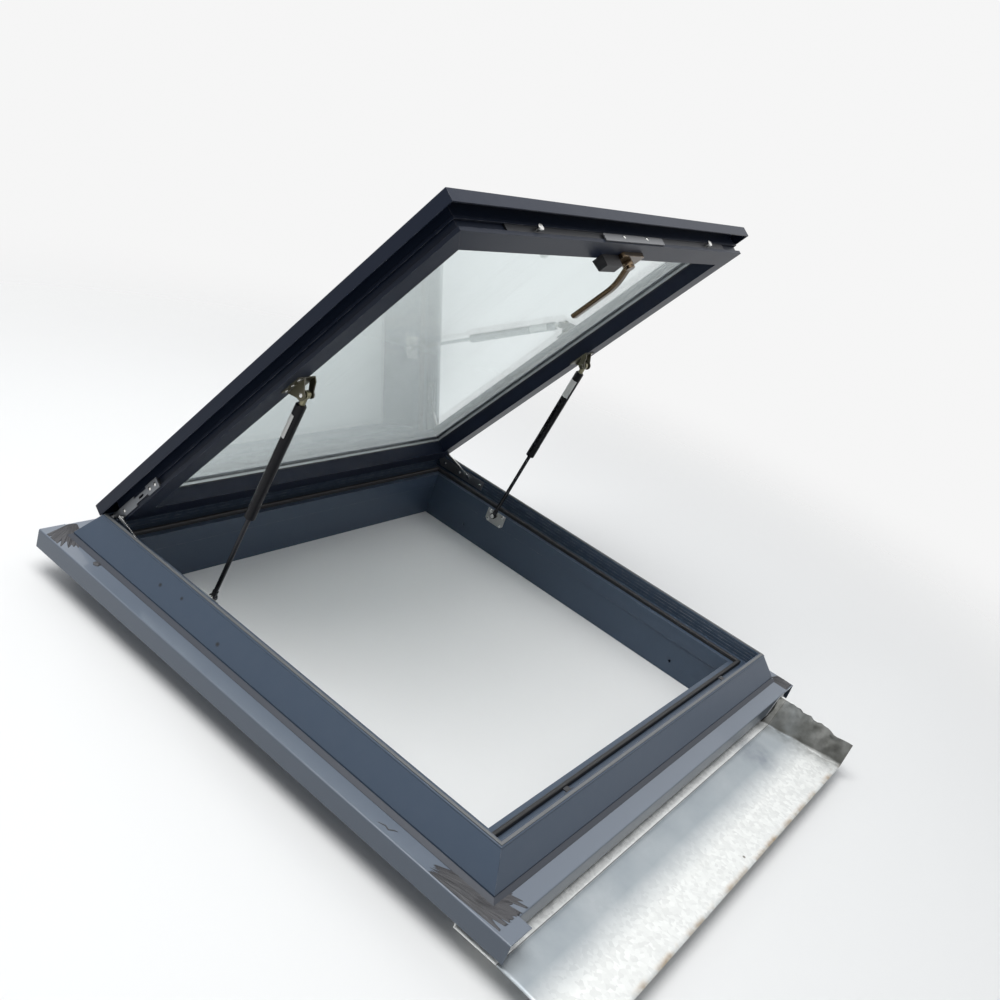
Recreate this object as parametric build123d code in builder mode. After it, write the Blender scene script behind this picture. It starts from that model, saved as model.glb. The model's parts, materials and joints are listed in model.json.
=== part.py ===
"""Top-hung roof window: fixed frame, flashing, glazed sash, hinges, lock and two gas struts.

Millimetres. X runs across the roof, Y runs up the slope, Z stands square to the roof plane.
The origin is the middle of the whole outline at the frame's underside, and the sash stands open.
"""
from build123d import *
from math import atan2, cos, degrees, hypot, radians, sin
import os

os.makedirs("parts", exist_ok=True)

# Frame sizes
frame_width = 950.0
frame_length = 925.0
frame_depth = 140.0
frame_wall = 2.0
mitre_spare = 2.0
rim_lip = 10.0
rim_edge = 3.0
rim_round = 2.0
upstand_height = 47.0
upstand_spread = 28.0
upstand_foot = 9.0
outer_wall_set = 6.0
groove_count = 4
groove_pitch = 7.0
groove_width = 2.4
groove_depth = 1.2
rebate_depth = 33.0
inner_wall_in = 50.0
band_height = 32.0
band_step = 2.0
trimmer_hole_radius = 3.2
trimmer_hole_span = 600.0
trimmer_hole_height = 30.0
cleat_arm = 70.0
cleat_wall = 8.0
cleat_fit = 0.2
rim_gasket_height = 1.4
rim_gasket_margin = 2.5
seal_inset = 31.0
seal_width = 8.0
seal_squeeze_gap = 0.4

# Flashing sizes
flange_sheet = 2.0
flange_reach = 68.0
flange_drop = 35.0
flange_leg = 26.0
flange_bend = 2.5
flange_nose = 90.0
flange_overlap = 18.0
apron_sheet = 1.2
apron_left_out = 66.0
apron_right_out = 10.0
apron_wall_gap = 1.0
apron_leg_gap = 0.2
apron_wall_top_inset = 63.0
apron_wall_low_inset = 19.0
apron_wall_height = 45.0
apron_wall_lean_top = 54.0
apron_wall_lean_low = 20.0
apron_fold = 82.0
apron_reach = 235.0
apron_drop = 9.0
apron_fall = 9.0
sealant_width = 8.0
sealant_height = 6.0

# Sash sizes
open_angle = 55.0
sash_gap = 2.5
skirt_height = 21.0
sheet_wall = 2.0
skirt_round = 2.0
box_inset = 22.6
box_depth = 26.6
box_inner = 63.3
box_step = 2.4
box_shoulder = 3.7
slot_top = 8.0
slot_opening = 12.0
slot_lip = 1.5
slot_depth = 5.0
slot_undercut = 2.0
glazing_seat = 2.5
glazing_edge = 45.0
glass_clearance = 3.0
pane_thickness = 4.0
pane_gap = 6.0
spacer_width = 8.0
spacer_inset = 2.0
gasket_under = 2.5
gasket_over = 1.5
gasket_margin = 0.5
bead_sheet = 2.0
bead_reach = 19.0
bead_round = 1.2
bead_leg = 10.5

# Hinge sizes
hinge_inset = 6.0
hinge_drop = 5.0
hinge_leaf = 2.5
hinge_pin_radius = 2.2
hinge_eye_radius = 4.0
hinge_running_fit = 0.05
hinge_side_gap = 0.1
hinge_notch_gap = 1.0
hinge_notch_wall = 1.6
frame_leaf_length = 150.0
frame_leaf_height = 22.0
frame_leaf_top = 6.0
frame_leaf_heel = 18.0
frame_leaf_nose = 12.0
frame_leaf_shoulder = 24.0
frame_leaf_screw_steps = (8.0, 74.0, 122.0)
arm_foot_back = 105.0
arm_foot_drop = 9.0
arm_head_back = 26.0
arm_head_rise = 14.0
arm_width = 6.0
arm_sheet = 2.5
arm_block = 3.4
sash_leaf_length = 150.0
sash_leaf_height = 18.0
sash_leaf_waist = 10.0
sash_leaf_wide = 62.0
sash_leaf_pad = 36.0
sash_leaf_heel = 22.0
sash_leaf_nose = 14.0
sash_leaf_screw_steps = (9.0, 26.0)
sash_leaf_screw_back = 36.0
leaf_slot_length = 16.0
leaf_slot_width = 4.0
nut_length = 14.0

# Gas strut sizes
strut_inset = 63.5
foot_from_hinge = 235.0
foot_drop = 40.0
head_from_hinge = 499.0
head_drop = 43.0
head_screw_step = 16.0
head_hook_lean = 3.0
head_hook_low = 7.0
tube_radius = 9.0
tube_wall = 1.5
collar_radius = 9.4
collar_length = 30.0
gland_length = 12.0
rod_radius = 4.0
body_length = 248.0
head_stub = 18.0
tube_cap = 2.0
piston_length = 8.0
piston_gap = 0.2
piston_spare = 6.0
strut_running_fit = 0.05
eye_radius = 7.0
eye_width = 8.0
socket_radius = 5.2
socket_length = 14.0
socket_gap = 0.6
strut_pin_radius = 3.0
pin_collar_radius = 5.0
pin_cap = 1.7
pivot_cap = 1.5
pivot_gap = 0.3
foot_plate_length = 52.0
foot_plate_sheet = 2.0
foot_screw_span = 36.0
foot_screw_rise = 22.0
head_plate_length = 46.0
head_sheet = 2.0
head_plate_out = 11.5
head_ear_gap = 9.5
head_ear_radius = 9.0
head_hook_width = 11.0

# Handle and lock sizes
handle_x = 40.0
handle_shut_gap = 2.5
handle_base_length = 72.0
handle_base_width = 26.0
handle_base_seal_gap = 3.0
handle_base_height = 7.5
handle_base_taper = 6
lock_case_length = 53.0
lock_case_width = 21.0
lock_case_height = 20.0
lock_case_shut_gap = 2.0
lock_case_taper = 4
handle_hub_radius = 9.0
handle_hub_height = 13.0
handle_running_gap = 0.3
handle_reach = 133.0
handle_width = 17.0
handle_thickness = 8.5
handle_drop = 29.0
spindle_radius = 4.0
spindle_fit = 0.05
spindle_end_gap = 1.0
lock_plate_left = 80.0
lock_plate_right = 120.0
lock_plate_height = 13.0
lock_plate_sheet = 3.0
lock_plate_low = 24.0
lock_screw_places = (-16.0, 62.0)
lock_x = 22.0
lock_bar_length = 724.0
lock_bar_play = 0.3
lock_stroke = 18.0
cam_span = 572.0
cam_neck_radius = 3.0
cam_head_radius = 5.5
cam_head_thickness = 2.5
cam_stand = 9.0
keeper_length = 28.0
keeper_sheet = 2.0
keeper_lip_length = 12.0
keeper_lip_reach = 8.0
keeper_lip_gap = 1.5
keeper_low = 27.0
keeper_screw_rise = 5.0
keeper_screw_offset = 9.0

# Screw sizes
screw_radius = 1.9
screw_fit = 0.1
screw_head_radius = 3.6
screw_head_height = 1.2

# Places worked out from the sizes
half_width = frame_width / 2
apron_left = half_width + apron_left_out
apron_hidden_right = half_width + apron_right_out
apron_wall_top_x = half_width - apron_wall_top_inset
apron_wall_low_x = half_width - apron_wall_low_inset
sill_y = (apron_reach - flange_reach - frame_length) / 2
head_y = sill_y + frame_length
middle_y = (sill_y + head_y) / 2
rim_z = frame_depth
foot_z = rim_z - upstand_height
flange_z = foot_z - upstand_foot
shelf_z = rim_z - rebate_depth
band_z = shelf_z - band_height
hinge_y = head_y - hinge_inset
hinge_z = rim_z - hinge_drop
sash_zero = rim_z + sash_gap
hinge_local_z = hinge_z - sash_zero
box_low = -box_depth
swing = radians(open_angle)
strut_x = half_width - strut_inset
hands = {"left": -1, "right": 1}


def swung(y, z):
    """Where a sash point given by its shut place, Y and Z, stands when the sash is open."""
    dy = y - hinge_y
    dz = z - hinge_z
    return hinge_y + dy * cos(swing) + dz * sin(swing), hinge_z - dy * sin(swing) + dz * cos(swing)


frame_base = Plane.XY
sash_base = Plane(
    origin=(0, *swung(0, sash_zero)),
    x_dir=(1, 0, 0),
    z_dir=(0, sin(swing), cos(swing)),
)

# Each side of the window: the corner it starts from, its run and the way inward
sides = {
    "left": ((-half_width, head_y), (0, -1), (1, 0)),
    "sill": ((-half_width, sill_y), (1, 0), (0, 1)),
    "right": ((half_width, sill_y), (0, 1), (-1, 0)),
    "head": ((half_width, head_y), (-1, 0), (0, -1)),
}


def at(base, x, y, z):
    """Point given in a base plane's own coordinates."""
    return base.from_local_coords(Vector(x, y, z))


def toward(base, x, y, z):
    """Direction given in a base plane's own coordinates."""
    return at(base, x, y, z) - base.origin


def side_length(side):
    """Outer length of a side."""
    return frame_width if side in ("sill", "head") else frame_length


def section_plane(base, side, lead=0.0):
    """Section plane of a side, ahead of its corner: X points inward and Y up."""
    corner, run, inward = sides[side]
    return Plane(
        origin=at(base, corner[0] - run[0] * lead, corner[1] - run[1] * lead, 0),
        x_dir=toward(base, *inward, 0),
        z_dir=toward(base, *run, 0),
    )


def flat_plane(base, z):
    """Plane lying in the window's own plane at one height, centred on the window."""
    return Plane(origin=at(base, 0, middle_y, z), x_dir=toward(base, 1, 0, 0), z_dir=toward(base, 0, 0, 1))


def upright_plane(base, x):
    """Plane square to the sill at one X: its X runs up the slope and its Y stands up."""
    return Plane(origin=at(base, x, 0, 0), x_dir=toward(base, 0, 1, 0), z_dir=toward(base, 1, 0, 0))


def mitred(base, side, outline, hollows, rounds, lead):
    """Extrude a section along a side and cut both ends on the corner mitres."""
    with BuildSketch(section_plane(base, side, lead)) as profile:
        with BuildLine():
            Polyline(*outline, close=True)
        make_face()
        for corner, radius in rounds:
            fillet(profile.vertices().sort_by_distance((*corner, 0))[0], radius)
        for hollow in hollows:
            with BuildLine():
                Polyline(*hollow, close=True)
            make_face(mode=Mode.SUBTRACT)
    extrude(profile.sketch, amount=side_length(side) + 2 * lead)
    corner, run, inward = sides[side]
    start = at(base, *corner, 0)
    end = start + toward(base, *run, 0) * side_length(side)
    split(bisect_by=Plane(start, z_dir=toward(base, run[0] - inward[0], run[1] - inward[1], 0)))
    split(bisect_by=Plane(end, z_dir=toward(base, -run[0] - inward[0], -run[1] - inward[1], 0)))


def ring(base, outer_in, width, low, height, mode=Mode.ADD):
    """Flat ring round the window, a given distance in from its edge."""
    with BuildSketch(flat_plane(base, low)) as band:
        inner_in = outer_in + width
        Rectangle(frame_width - 2 * outer_in, frame_length - 2 * outer_in)
        Rectangle(frame_width - 2 * inner_in, frame_length - 2 * inner_in, mode=Mode.SUBTRACT)
    return extrude(band.sketch, amount=height, mode=mode)


def disc(base, start, direction, radius, length, mode=Mode.ADD):
    """Round bar from a point along one direction."""
    with BuildSketch(Plane(origin=at(base, *start), z_dir=toward(base, *direction))) as end:
        Circle(radius)
    return extrude(end.sketch, amount=length, mode=mode)


def drill(base, points, direction, radius, reach):
    """Round holes centred on the points, reaching both ways along one direction."""
    for point in points:
        start = [place - reach * step for place, step in zip(point, direction)]
        disc(base, start, direction, radius, 2 * reach, mode=Mode.SUBTRACT)


def pan_screws(base, seats, direction, grip):
    """Pan-head screws seated at the points, their shanks running along one direction."""
    for seat in seats:
        disc(base, seat, direction, screw_radius, grip)
        back = [-step for step in direction]
        head = disc(base, seat, back, screw_head_radius, screw_head_height)
        top = [place + step * screw_head_height for place, step in zip(seat, back)]
        face = head.faces().sort_by_distance(at(base, *top))[0]
        chamfer(face.edges(), screw_head_height * 0.5)


def leaf_plate(base, x, thickness, outline):
    """Flat plate standing square to the sill, from its Y and Z outline."""
    with BuildSketch(upright_plane(base, x)) as plate:
        with BuildLine():
            Polyline(*outline, close=True)
        make_face()
    extrude(plate.sketch, amount=thickness)


def save(builder, name):
    """Label a finished piece and write it to its own file."""
    builder.part.label = name
    export_step(builder.part, f"parts/{name}.step")


# Screw and hardware places shared by holes and screws
screw_hole = screw_radius + screw_fit
wall_x = half_width - rim_lip
leaf_top_z = rim_z - frame_leaf_top
leaf_low_z = leaf_top_z - frame_leaf_height
leaf_mid_z = (leaf_top_z + leaf_low_z) / 2
frame_leaf_start = hinge_y - frame_leaf_length
frame_leaf_screws = [(frame_leaf_start + offset, leaf_mid_z) for offset in frame_leaf_screw_steps]
arm_foot = (hinge_y - arm_foot_back, hinge_z - arm_foot_drop)
arm_head = (hinge_y - arm_head_back, hinge_z + arm_head_rise)
slot_mid_z = -slot_top - slot_opening / 2
sash_leaf_start = hinge_y - sash_leaf_length
sash_leaf_screws = [sash_leaf_start + offset for offset in sash_leaf_screw_steps]
sash_leaf_screws.append(hinge_y - sash_leaf_screw_back)
foot_y = hinge_y - foot_from_hinge
foot_z_pivot = rim_z - foot_drop
head_shut_y = hinge_y - head_from_hinge
head_shut_z = rim_z - head_drop
head_local_z = head_shut_z - sash_zero
head_open_y, head_open_z = swung(head_shut_y, head_shut_z)
strut_span = hypot(head_open_y - foot_y, head_open_z - foot_z_pivot)
strut_rise = atan2(head_open_z - foot_z_pivot, foot_y - head_open_y)
shut_span = hypot(head_shut_y - foot_y, head_shut_z - foot_z_pivot)
foot_screw_z = (shelf_z + band_z) / 2
foot_screws = [
    (foot_y + y * foot_screw_span / 2, foot_screw_z + z * foot_screw_rise / 2)
    for y in (-1, 1)
    for z in (-1, 1)
]
head_screw_x = strut_x + head_ear_gap + head_sheet + head_plate_out / 2
head_screws = [head_shut_y + step * head_screw_step for step in (-1, 0, 1)]
keeper_places = [lock_x + hand * cam_span / 2 - lock_stroke for hand in (-1, 1)]
keeper_lip_z = sash_zero + slot_mid_z + cam_head_radius + keeper_lip_gap
keeper_screw_z = keeper_lip_z + keeper_sheet - keeper_low + keeper_screw_rise
lock_face_y = sill_y + box_inset


def frame_outline():
    """Outer outline of the frame section, from the rim down the opening and up the outside."""
    points = [(0, rim_z), (rim_lip, rim_z)]
    for count in range(groove_count):
        top = rim_z - groove_pitch * (count + 0.6)
        points += [(rim_lip, top), (rim_lip - groove_depth, top)]
        points += [(rim_lip - groove_depth, top - groove_width), (rim_lip, top - groove_width)]
    points += [(rim_lip, shelf_z), (inner_wall_in, shelf_z), (inner_wall_in, band_z)]
    points += [(inner_wall_in - band_step, band_z), (inner_wall_in - band_step, 0), (-outer_wall_set, 0)]
    points += [(-outer_wall_set, flange_z), (-upstand_spread, flange_z), (-upstand_spread, foot_z)]
    points.append((0, rim_z - rim_edge))
    return points


def frame_chambers():
    """The two hollow chambers of the frame section."""
    wall = frame_wall
    inner = inner_wall_in - band_step - wall
    lip_wall = rim_lip - groove_depth - wall * 0.8
    slope = upstand_spread / (upstand_height - rim_edge)
    outer = wall - outer_wall_set
    lower = [(outer, wall), (inner, wall), (inner, flange_z), (outer, flange_z)]
    upper = [(wall - upstand_spread, flange_z + wall), (inner, flange_z + wall), (inner, shelf_z - wall)]
    upper += [(lip_wall, shelf_z - wall), (lip_wall, rim_z - wall), (wall, rim_z - wall)]
    upper += [(wall, rim_z - rim_edge - wall * 0.6), (wall - upstand_spread, foot_z + wall / slope - wall)]
    return lower, upper


# Frame members, hollow extrusions mitred at the corners
for side in sides:
    with BuildPart() as member:
        rounds = [((0, rim_z), rim_round)]
        mitred(frame_base, side, frame_outline(), frame_chambers(), rounds, upstand_spread + mitre_spare)
        if side in hands:
            hand = hands[side]
            leaf = [(hand * wall_x, y, z) for y, z in frame_leaf_screws]
            drill(frame_base, leaf, (1, 0, 0), screw_hole, frame_wall + groove_depth)
            band = [(hand * (half_width - inner_wall_in), y, z) for y, z in foot_screws]
            drill(frame_base, band, (1, 0, 0), screw_hole, frame_wall + band_step)
            trimmer_x = hand * (half_width - inner_wall_in / 2)
            trimmer = [
                (trimmer_x, middle_y + end * trimmer_hole_span / 2, trimmer_hole_height)
                for end in (-1, 1)
            ]
            drill(frame_base, trimmer, (1, 0, 0), trimmer_hole_radius, inner_wall_in)
        if side == "sill":
            keeper = [
                (x + end * keeper_screw_offset, sill_y + rim_lip, keeper_screw_z)
                for x in keeper_places
                for end in (-1, 1)
            ]
            drill(frame_base, keeper, (0, 1, 0), screw_hole, frame_wall + groove_depth)
        if side == "head":
            notch_low = hinge_z - hinge_eye_radius - hinge_notch_gap * 2
            notch_wide = box_inset + hinge_notch_gap - rim_lip
            notch_y = (head_y - hinge_notch_wall + head_y - rim_lip) / 2
            for hand in hands.values():
                with Locations((hand * (wall_x - notch_wide / 2), notch_y, notch_low)):
                    Box(
                        notch_wide,
                        rim_lip - hinge_notch_wall,
                        frame_depth,
                        align=(Align.CENTER, Align.CENTER, Align.MIN),
                        mode=Mode.SUBTRACT,
                    )
    save(member, f"frame_{'stile' if side in hands else 'rail'}_{side}")

# Corner cleats inside the lower chamber, joining the frame members
with BuildPart() as frame_cleats:
    chamber_out = frame_wall - outer_wall_set + cleat_fit
    chamber_in = inner_wall_in - band_step - frame_wall - cleat_fit
    for x_hand in (-1, 1):
        out_x = x_hand * (half_width - chamber_out)
        step_x = x_hand * (half_width - chamber_out - cleat_wall)
        end_x = x_hand * (half_width - chamber_in - cleat_arm)
        for corner_y, y_hand in ((sill_y, 1), (head_y, -1)):
            out_y = corner_y + y_hand * chamber_out
            step_y = corner_y + y_hand * (chamber_out + cleat_wall)
            end_y = corner_y + y_hand * (chamber_in + cleat_arm)
            with BuildSketch(Plane.XY.offset(frame_wall + cleat_fit)) as angle:
                with BuildLine():
                    Polyline(
                        (out_x, out_y),
                        (end_x, out_y),
                        (end_x, step_y),
                        (step_x, step_y),
                        (step_x, end_y),
                        (out_x, end_y),
                        close=True,
                    )
                make_face()
            extrude(amount=flange_z - frame_wall - 2 * cleat_fit)
save(frame_cleats, "frame_corner_cleats")

# Rim gasket on the lip, cut where the hinge arms pass
with BuildPart() as rim_gasket:
    ring(frame_base, rim_gasket_margin, rim_lip - 2 * rim_gasket_margin, rim_z, rim_gasket_height)
    for hand in hands.values():
        with Locations((hand * (wall_x - notch_wide / 2), head_y - rim_lip / 2, rim_z)):
            Box(notch_wide, rim_lip, frame_depth, mode=Mode.SUBTRACT)
save(rim_gasket, "rim_gasket")

# Sash seal on the frame's shelf
seal_top = sash_zero + box_low - seal_squeeze_gap
with BuildPart() as sash_seal:
    bulb = ring(frame_base, seal_inset, seal_width, shelf_z, seal_top - shelf_z)
    fillet(bulb.faces().sort_by(Axis.Z)[-1].edges(), seal_width * 0.36)
save(sash_seal, "sash_seal")


def flange_outline():
    """Section of a flange: leg on the frame wall, flat and down-turned edge."""
    inner = -outer_wall_set
    top = flange_z
    points = [(inner, top), (-flange_reach, top), (-flange_reach, top - flange_drop)]
    turned = flange_sheet - flange_reach
    points += [(turned, top - flange_drop), (turned, top - flange_sheet)]
    points += [(inner - flange_sheet, top - flange_sheet), (inner - flange_sheet, top - flange_leg)]
    points.append((inner, top - flange_leg))
    return points


# Flanges round the frame: the side ones run through and the sill and head ones butt between them
butt_x = half_width + flange_overlap
run_ends = {
    "left": (flange_reach, flange_nose),
    "right": (flange_reach, flange_reach),
    "sill": (flange_overlap, flange_overlap),
    "head": (flange_overlap, flange_overlap),
}
for side in sides:
    with BuildPart() as flange:
        before, after = run_ends[side]
        if side == "right":
            before, after = after, before
        with BuildSketch(section_plane(frame_base, side, before)) as flange_section:
            with BuildLine():
                Polyline(*flange_outline(), close=True)
            make_face()
            fillet(flange_section.vertices().sort_by_distance((-flange_reach, flange_z, 0))[0], flange_bend)
        extrude(amount=side_length(side) + before + after)
        if side in hands:
            hand = hands[side]
            for end_y, way in ((head_y + outer_wall_set, 1), (sill_y - outer_wall_set, -1)):
                with Locations((hand * (butt_x - flange_reach / 2), end_y + way * flange_nose / 2, flange_z)):
                    Box(flange_reach, flange_nose, flange_drop * 4, mode=Mode.SUBTRACT)
    save(flange, f"flange_{side}")

# Sealant bead in the corner between the frame's foot and the flanges
with BuildPart() as sealant:
    with BuildSketch(flat_plane(frame_base, flange_z)) as bead_foot:
        Rectangle(
            frame_width + 2 * (upstand_spread + sealant_width),
            frame_length + 2 * (upstand_spread + sealant_width),
        )
    extrude(amount=sealant_height, taper=degrees(atan2(sealant_width, sealant_height)) * 0.95)
    with BuildSketch(flat_plane(frame_base, flange_z)) as bead_back:
        Rectangle(frame_width + 2 * upstand_spread, frame_length + 2 * upstand_spread)
    extrude(amount=sealant_height, mode=Mode.SUBTRACT)
save(sealant, "sealant_bead")

# Apron sheet below the sill: upstand, flat, fold, slope and a turned-up end on the right
apron_wall_start = flange_reach + apron_wall_gap
apron_top = flange_z - flange_drop - apron_drop
apron_low = apron_top - apron_fall


def apron_wall_section(out, base_x, base_z, lean):
    """Section of the apron's turned-up end at one distance out from the sill."""
    with BuildSketch(Plane(origin=(0, sill_y - out, 0), x_dir=(1, 0, 0), z_dir=(0, -1, 0))) as cut:
        with BuildLine():
            Polyline(
                (base_x - apron_sheet * 2, base_z),
                (base_x, base_z),
                (base_x + lean, base_z + apron_wall_height),
                (base_x + lean - apron_sheet * 2, base_z + apron_wall_height),
                close=True,
            )
        make_face()
    return cut.sketch


with BuildPart() as apron:
    wall_out = outer_wall_set
    sheet = apron_sheet
    leg_top = flange_z - flange_leg - apron_leg_gap
    apron_end = Plane(origin=(-apron_left, sill_y, 0), x_dir=(0, -1, 0), z_dir=(-1, 0, 0))
    with BuildSketch(apron_end):
        with BuildLine():
            Polyline(
                (wall_out, leg_top),
                (wall_out, apron_top - sheet),
                (apron_fold, apron_top - sheet),
                (apron_reach, apron_low - sheet),
                (apron_reach, apron_low),
                (apron_fold, apron_top),
                (wall_out + sheet, apron_top),
                (wall_out + sheet, leg_top),
                close=True,
            )
        make_face()
    extrude(amount=-apron_left - apron_hidden_right)
    with BuildSketch() as beyond_wall:
        with BuildLine():
            Polyline(
                (apron_wall_top_x, sill_y - apron_wall_start),
                (apron_wall_low_x, sill_y - apron_reach),
                (apron_wall_low_x, sill_y - apron_reach * 2),
                (apron_hidden_right * 2, sill_y - apron_reach * 2),
                (apron_hidden_right * 2, sill_y - apron_wall_start),
                close=True,
            )
        make_face()
    extrude(amount=frame_depth, mode=Mode.SUBTRACT)
    near = apron_wall_section(apron_wall_start, apron_wall_top_x, apron_top - sheet, apron_wall_lean_top)
    far = apron_wall_section(apron_reach, apron_wall_low_x, apron_low - sheet, apron_wall_lean_low)
    loft([near, far])
save(apron, "apron_flashing")

# Hinge leaves on the frame's side walls, each with its arm
for name, hand in hands.items():
    with BuildPart() as frame_leaf:
        outline = [
            (frame_leaf_start, leaf_low_z),
            (hinge_y - frame_leaf_heel, leaf_low_z),
            (hinge_y - hinge_eye_radius, hinge_z - hinge_eye_radius),
            (hinge_y, hinge_z - hinge_eye_radius),
            (hinge_y, hinge_z + hinge_eye_radius),
            (hinge_y - frame_leaf_nose, hinge_z + hinge_eye_radius),
            (hinge_y - frame_leaf_shoulder, leaf_top_z),
            (frame_leaf_start, leaf_top_z),
        ]
        leaf_plate(frame_base, hand * wall_x, -hand * hinge_leaf, outline)
        disc(frame_base, (hand * wall_x, hinge_y, hinge_z), (-hand, 0, 0), hinge_eye_radius, hinge_leaf)
        drill(frame_base, [(hand * wall_x, hinge_y, hinge_z)], (1, 0, 0), hinge_pin_radius, hinge_leaf * 2)
        leaf = [(hand * wall_x, y, z) for y, z in frame_leaf_screws]
        drill(frame_base, leaf, (1, 0, 0), screw_hole, hinge_leaf * 2)
    save(frame_leaf, f"hinge_frame_leaf_{name}")

with BuildPart() as hinge_arms:
    arm_x = wall_x - hinge_leaf
    for hand in hands.values():
        run_y = arm_head[0] - arm_foot[0]
        run_z = arm_head[1] - arm_foot[1]
        arm_run = hypot(run_y, run_z)
        slide_y = -run_z / arm_run * arm_width / 2
        slide_z = run_y / arm_run * arm_width / 2
        outline = [
            (arm_foot[0] + slide_y, arm_foot[1] + slide_z),
            (arm_head[0] + slide_y, arm_head[1] + slide_z),
            (arm_head[0] - slide_y, arm_head[1] - slide_z),
            (arm_foot[0] - slide_y, arm_foot[1] - slide_z),
        ]
        leaf_plate(frame_base, hand * arm_x, -hand * arm_sheet, outline)
        disc(frame_base, (hand * arm_x, *arm_foot), (-hand, 0, 0), arm_width * 0.7, arm_sheet + 1.0)
        with Locations((hand * (arm_x - (arm_sheet + arm_block) / 2), *arm_head)):
            Box(arm_sheet + arm_block, arm_block * 1.7, arm_block * 1.7)
save(hinge_arms, "hinge_arms")

# Hinge pins fixed in the frame leaves, and the bushes that space the leaves apart
pin_start = wall_x
pin_length = box_inset - rim_lip - hinge_side_gap
sash_leaf_x = half_width - box_inset + hinge_leaf
with BuildPart() as hinge_pins:
    for hand in hands.values():
        disc(frame_base, (hand * pin_start, hinge_y, hinge_z), (-hand, 0, 0), hinge_pin_radius, pin_length)
save(hinge_pins, "hinge_pins")

with BuildPart() as hinge_bushes:
    bush_length = box_inset - rim_lip - 2 * hinge_leaf - hinge_side_gap
    for hand in hands.values():
        start = (hand * (wall_x - hinge_leaf), hinge_y, hinge_z)
        disc(frame_base, start, (-hand, 0, 0), hinge_eye_radius, bush_length)
        drill(frame_base, [start], (1, 0, 0), hinge_pin_radius, rim_lip)
save(hinge_bushes, "hinge_bushes")

with BuildPart() as hinge_frame_screws:
    for hand in hands.values():
        seats = [(hand * (wall_x - hinge_leaf), y, z) for y, z in frame_leaf_screws]
        pan_screws(frame_base, seats, (hand, 0, 0), hinge_leaf + frame_wall * 2)
save(hinge_frame_screws, "hinge_frame_screws")

# Gas strut feet on the frame's inner walls
inner_x = half_width - inner_wall_in
pin_end = strut_x - eye_width / 2 - pivot_gap
for name, hand in hands.items():
    with BuildPart() as strut_foot:
        low = band_z
        high = shelf_z
        slant = foot_plate_length * 0.12
        outline = [
            (foot_y - foot_plate_length / 2, low + slant),
            (foot_y - foot_plate_length / 2 + slant, low),
            (foot_y + foot_plate_length / 2 - slant, low),
            (foot_y + foot_plate_length / 2, low + slant),
            (foot_y + foot_plate_length / 2, high),
            (foot_y - foot_plate_length / 2, high),
        ]
        leaf_plate(frame_base, hand * inner_x, -hand * foot_plate_sheet, outline)
        holes = [(hand * inner_x, y, z) for y, z in foot_screws]
        drill(frame_base, holes, (1, 0, 0), screw_hole, foot_plate_sheet * 2)
        pivot = [(hand * inner_x, foot_y, foot_z_pivot)]
        drill(frame_base, pivot, (1, 0, 0), strut_pin_radius, foot_plate_sheet * 2)
    save(strut_foot, f"strut_foot_{name}")

with BuildPart() as strut_foot_pins:
    for hand in hands.values():
        plate_face = inner_x - foot_plate_sheet
        collar_run = plate_face - strut_x - eye_width / 2 - pivot_gap
        inward = (-hand, 0, 0)
        disc(frame_base, (hand * inner_x, foot_y, foot_z_pivot), inward, strut_pin_radius, inner_x - pin_end)
        disc(frame_base, (hand * plate_face, foot_y, foot_z_pivot), inward, pin_collar_radius, collar_run)
        disc(frame_base, (hand * pin_end, foot_y, foot_z_pivot), (-hand, 0, 0), pin_collar_radius, pin_cap)
save(strut_foot_pins, "strut_foot_pins")

with BuildPart() as strut_foot_screws:
    for hand in hands.values():
        seats = [(hand * (inner_x - foot_plate_sheet), y, z) for y, z in foot_screws]
        pan_screws(frame_base, seats, (hand, 0, 0), foot_plate_sheet + frame_wall + band_step)
save(strut_foot_screws, "strut_foot_screws")

# Keepers on the sill's rebate wall, with a lip over the locked place of each cam
keeper_y = sill_y + rim_lip
for name, x in zip(hands, keeper_places):
    with BuildPart() as keeper:
        lip_top = (x, keeper_y, keeper_lip_z + keeper_sheet)
        with BuildSketch(Plane(origin=lip_top, z_dir=(0, 1, 0), x_dir=(-1, 0, 0))) as face:
            with Locations((0, -keeper_low / 2)):
                RectangleRounded(keeper_length, keeper_low, keeper_sheet)
        extrude(amount=keeper_sheet)
        lip_y = keeper_y + (keeper_sheet + keeper_lip_reach) / 2
        with Locations((x, lip_y, keeper_lip_z + keeper_sheet / 2)):
            Box(keeper_lip_length, keeper_sheet + keeper_lip_reach, keeper_sheet)
        holes = [(x + offset, keeper_y, keeper_screw_z) for offset in (-9.0, 9.0)]
        drill(frame_base, holes, (0, 1, 0), screw_hole, keeper_sheet * 2)
    save(keeper, f"keeper_{name}")

with BuildPart() as keeper_screws:
    for x in keeper_places:
        seats = [(x + offset, keeper_y + keeper_sheet, keeper_screw_z) for offset in (-9.0, 9.0)]
        pan_screws(frame_base, seats, (0, -1, 0), keeper_sheet + frame_wall)
save(keeper_screws, "keeper_screws")


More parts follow.
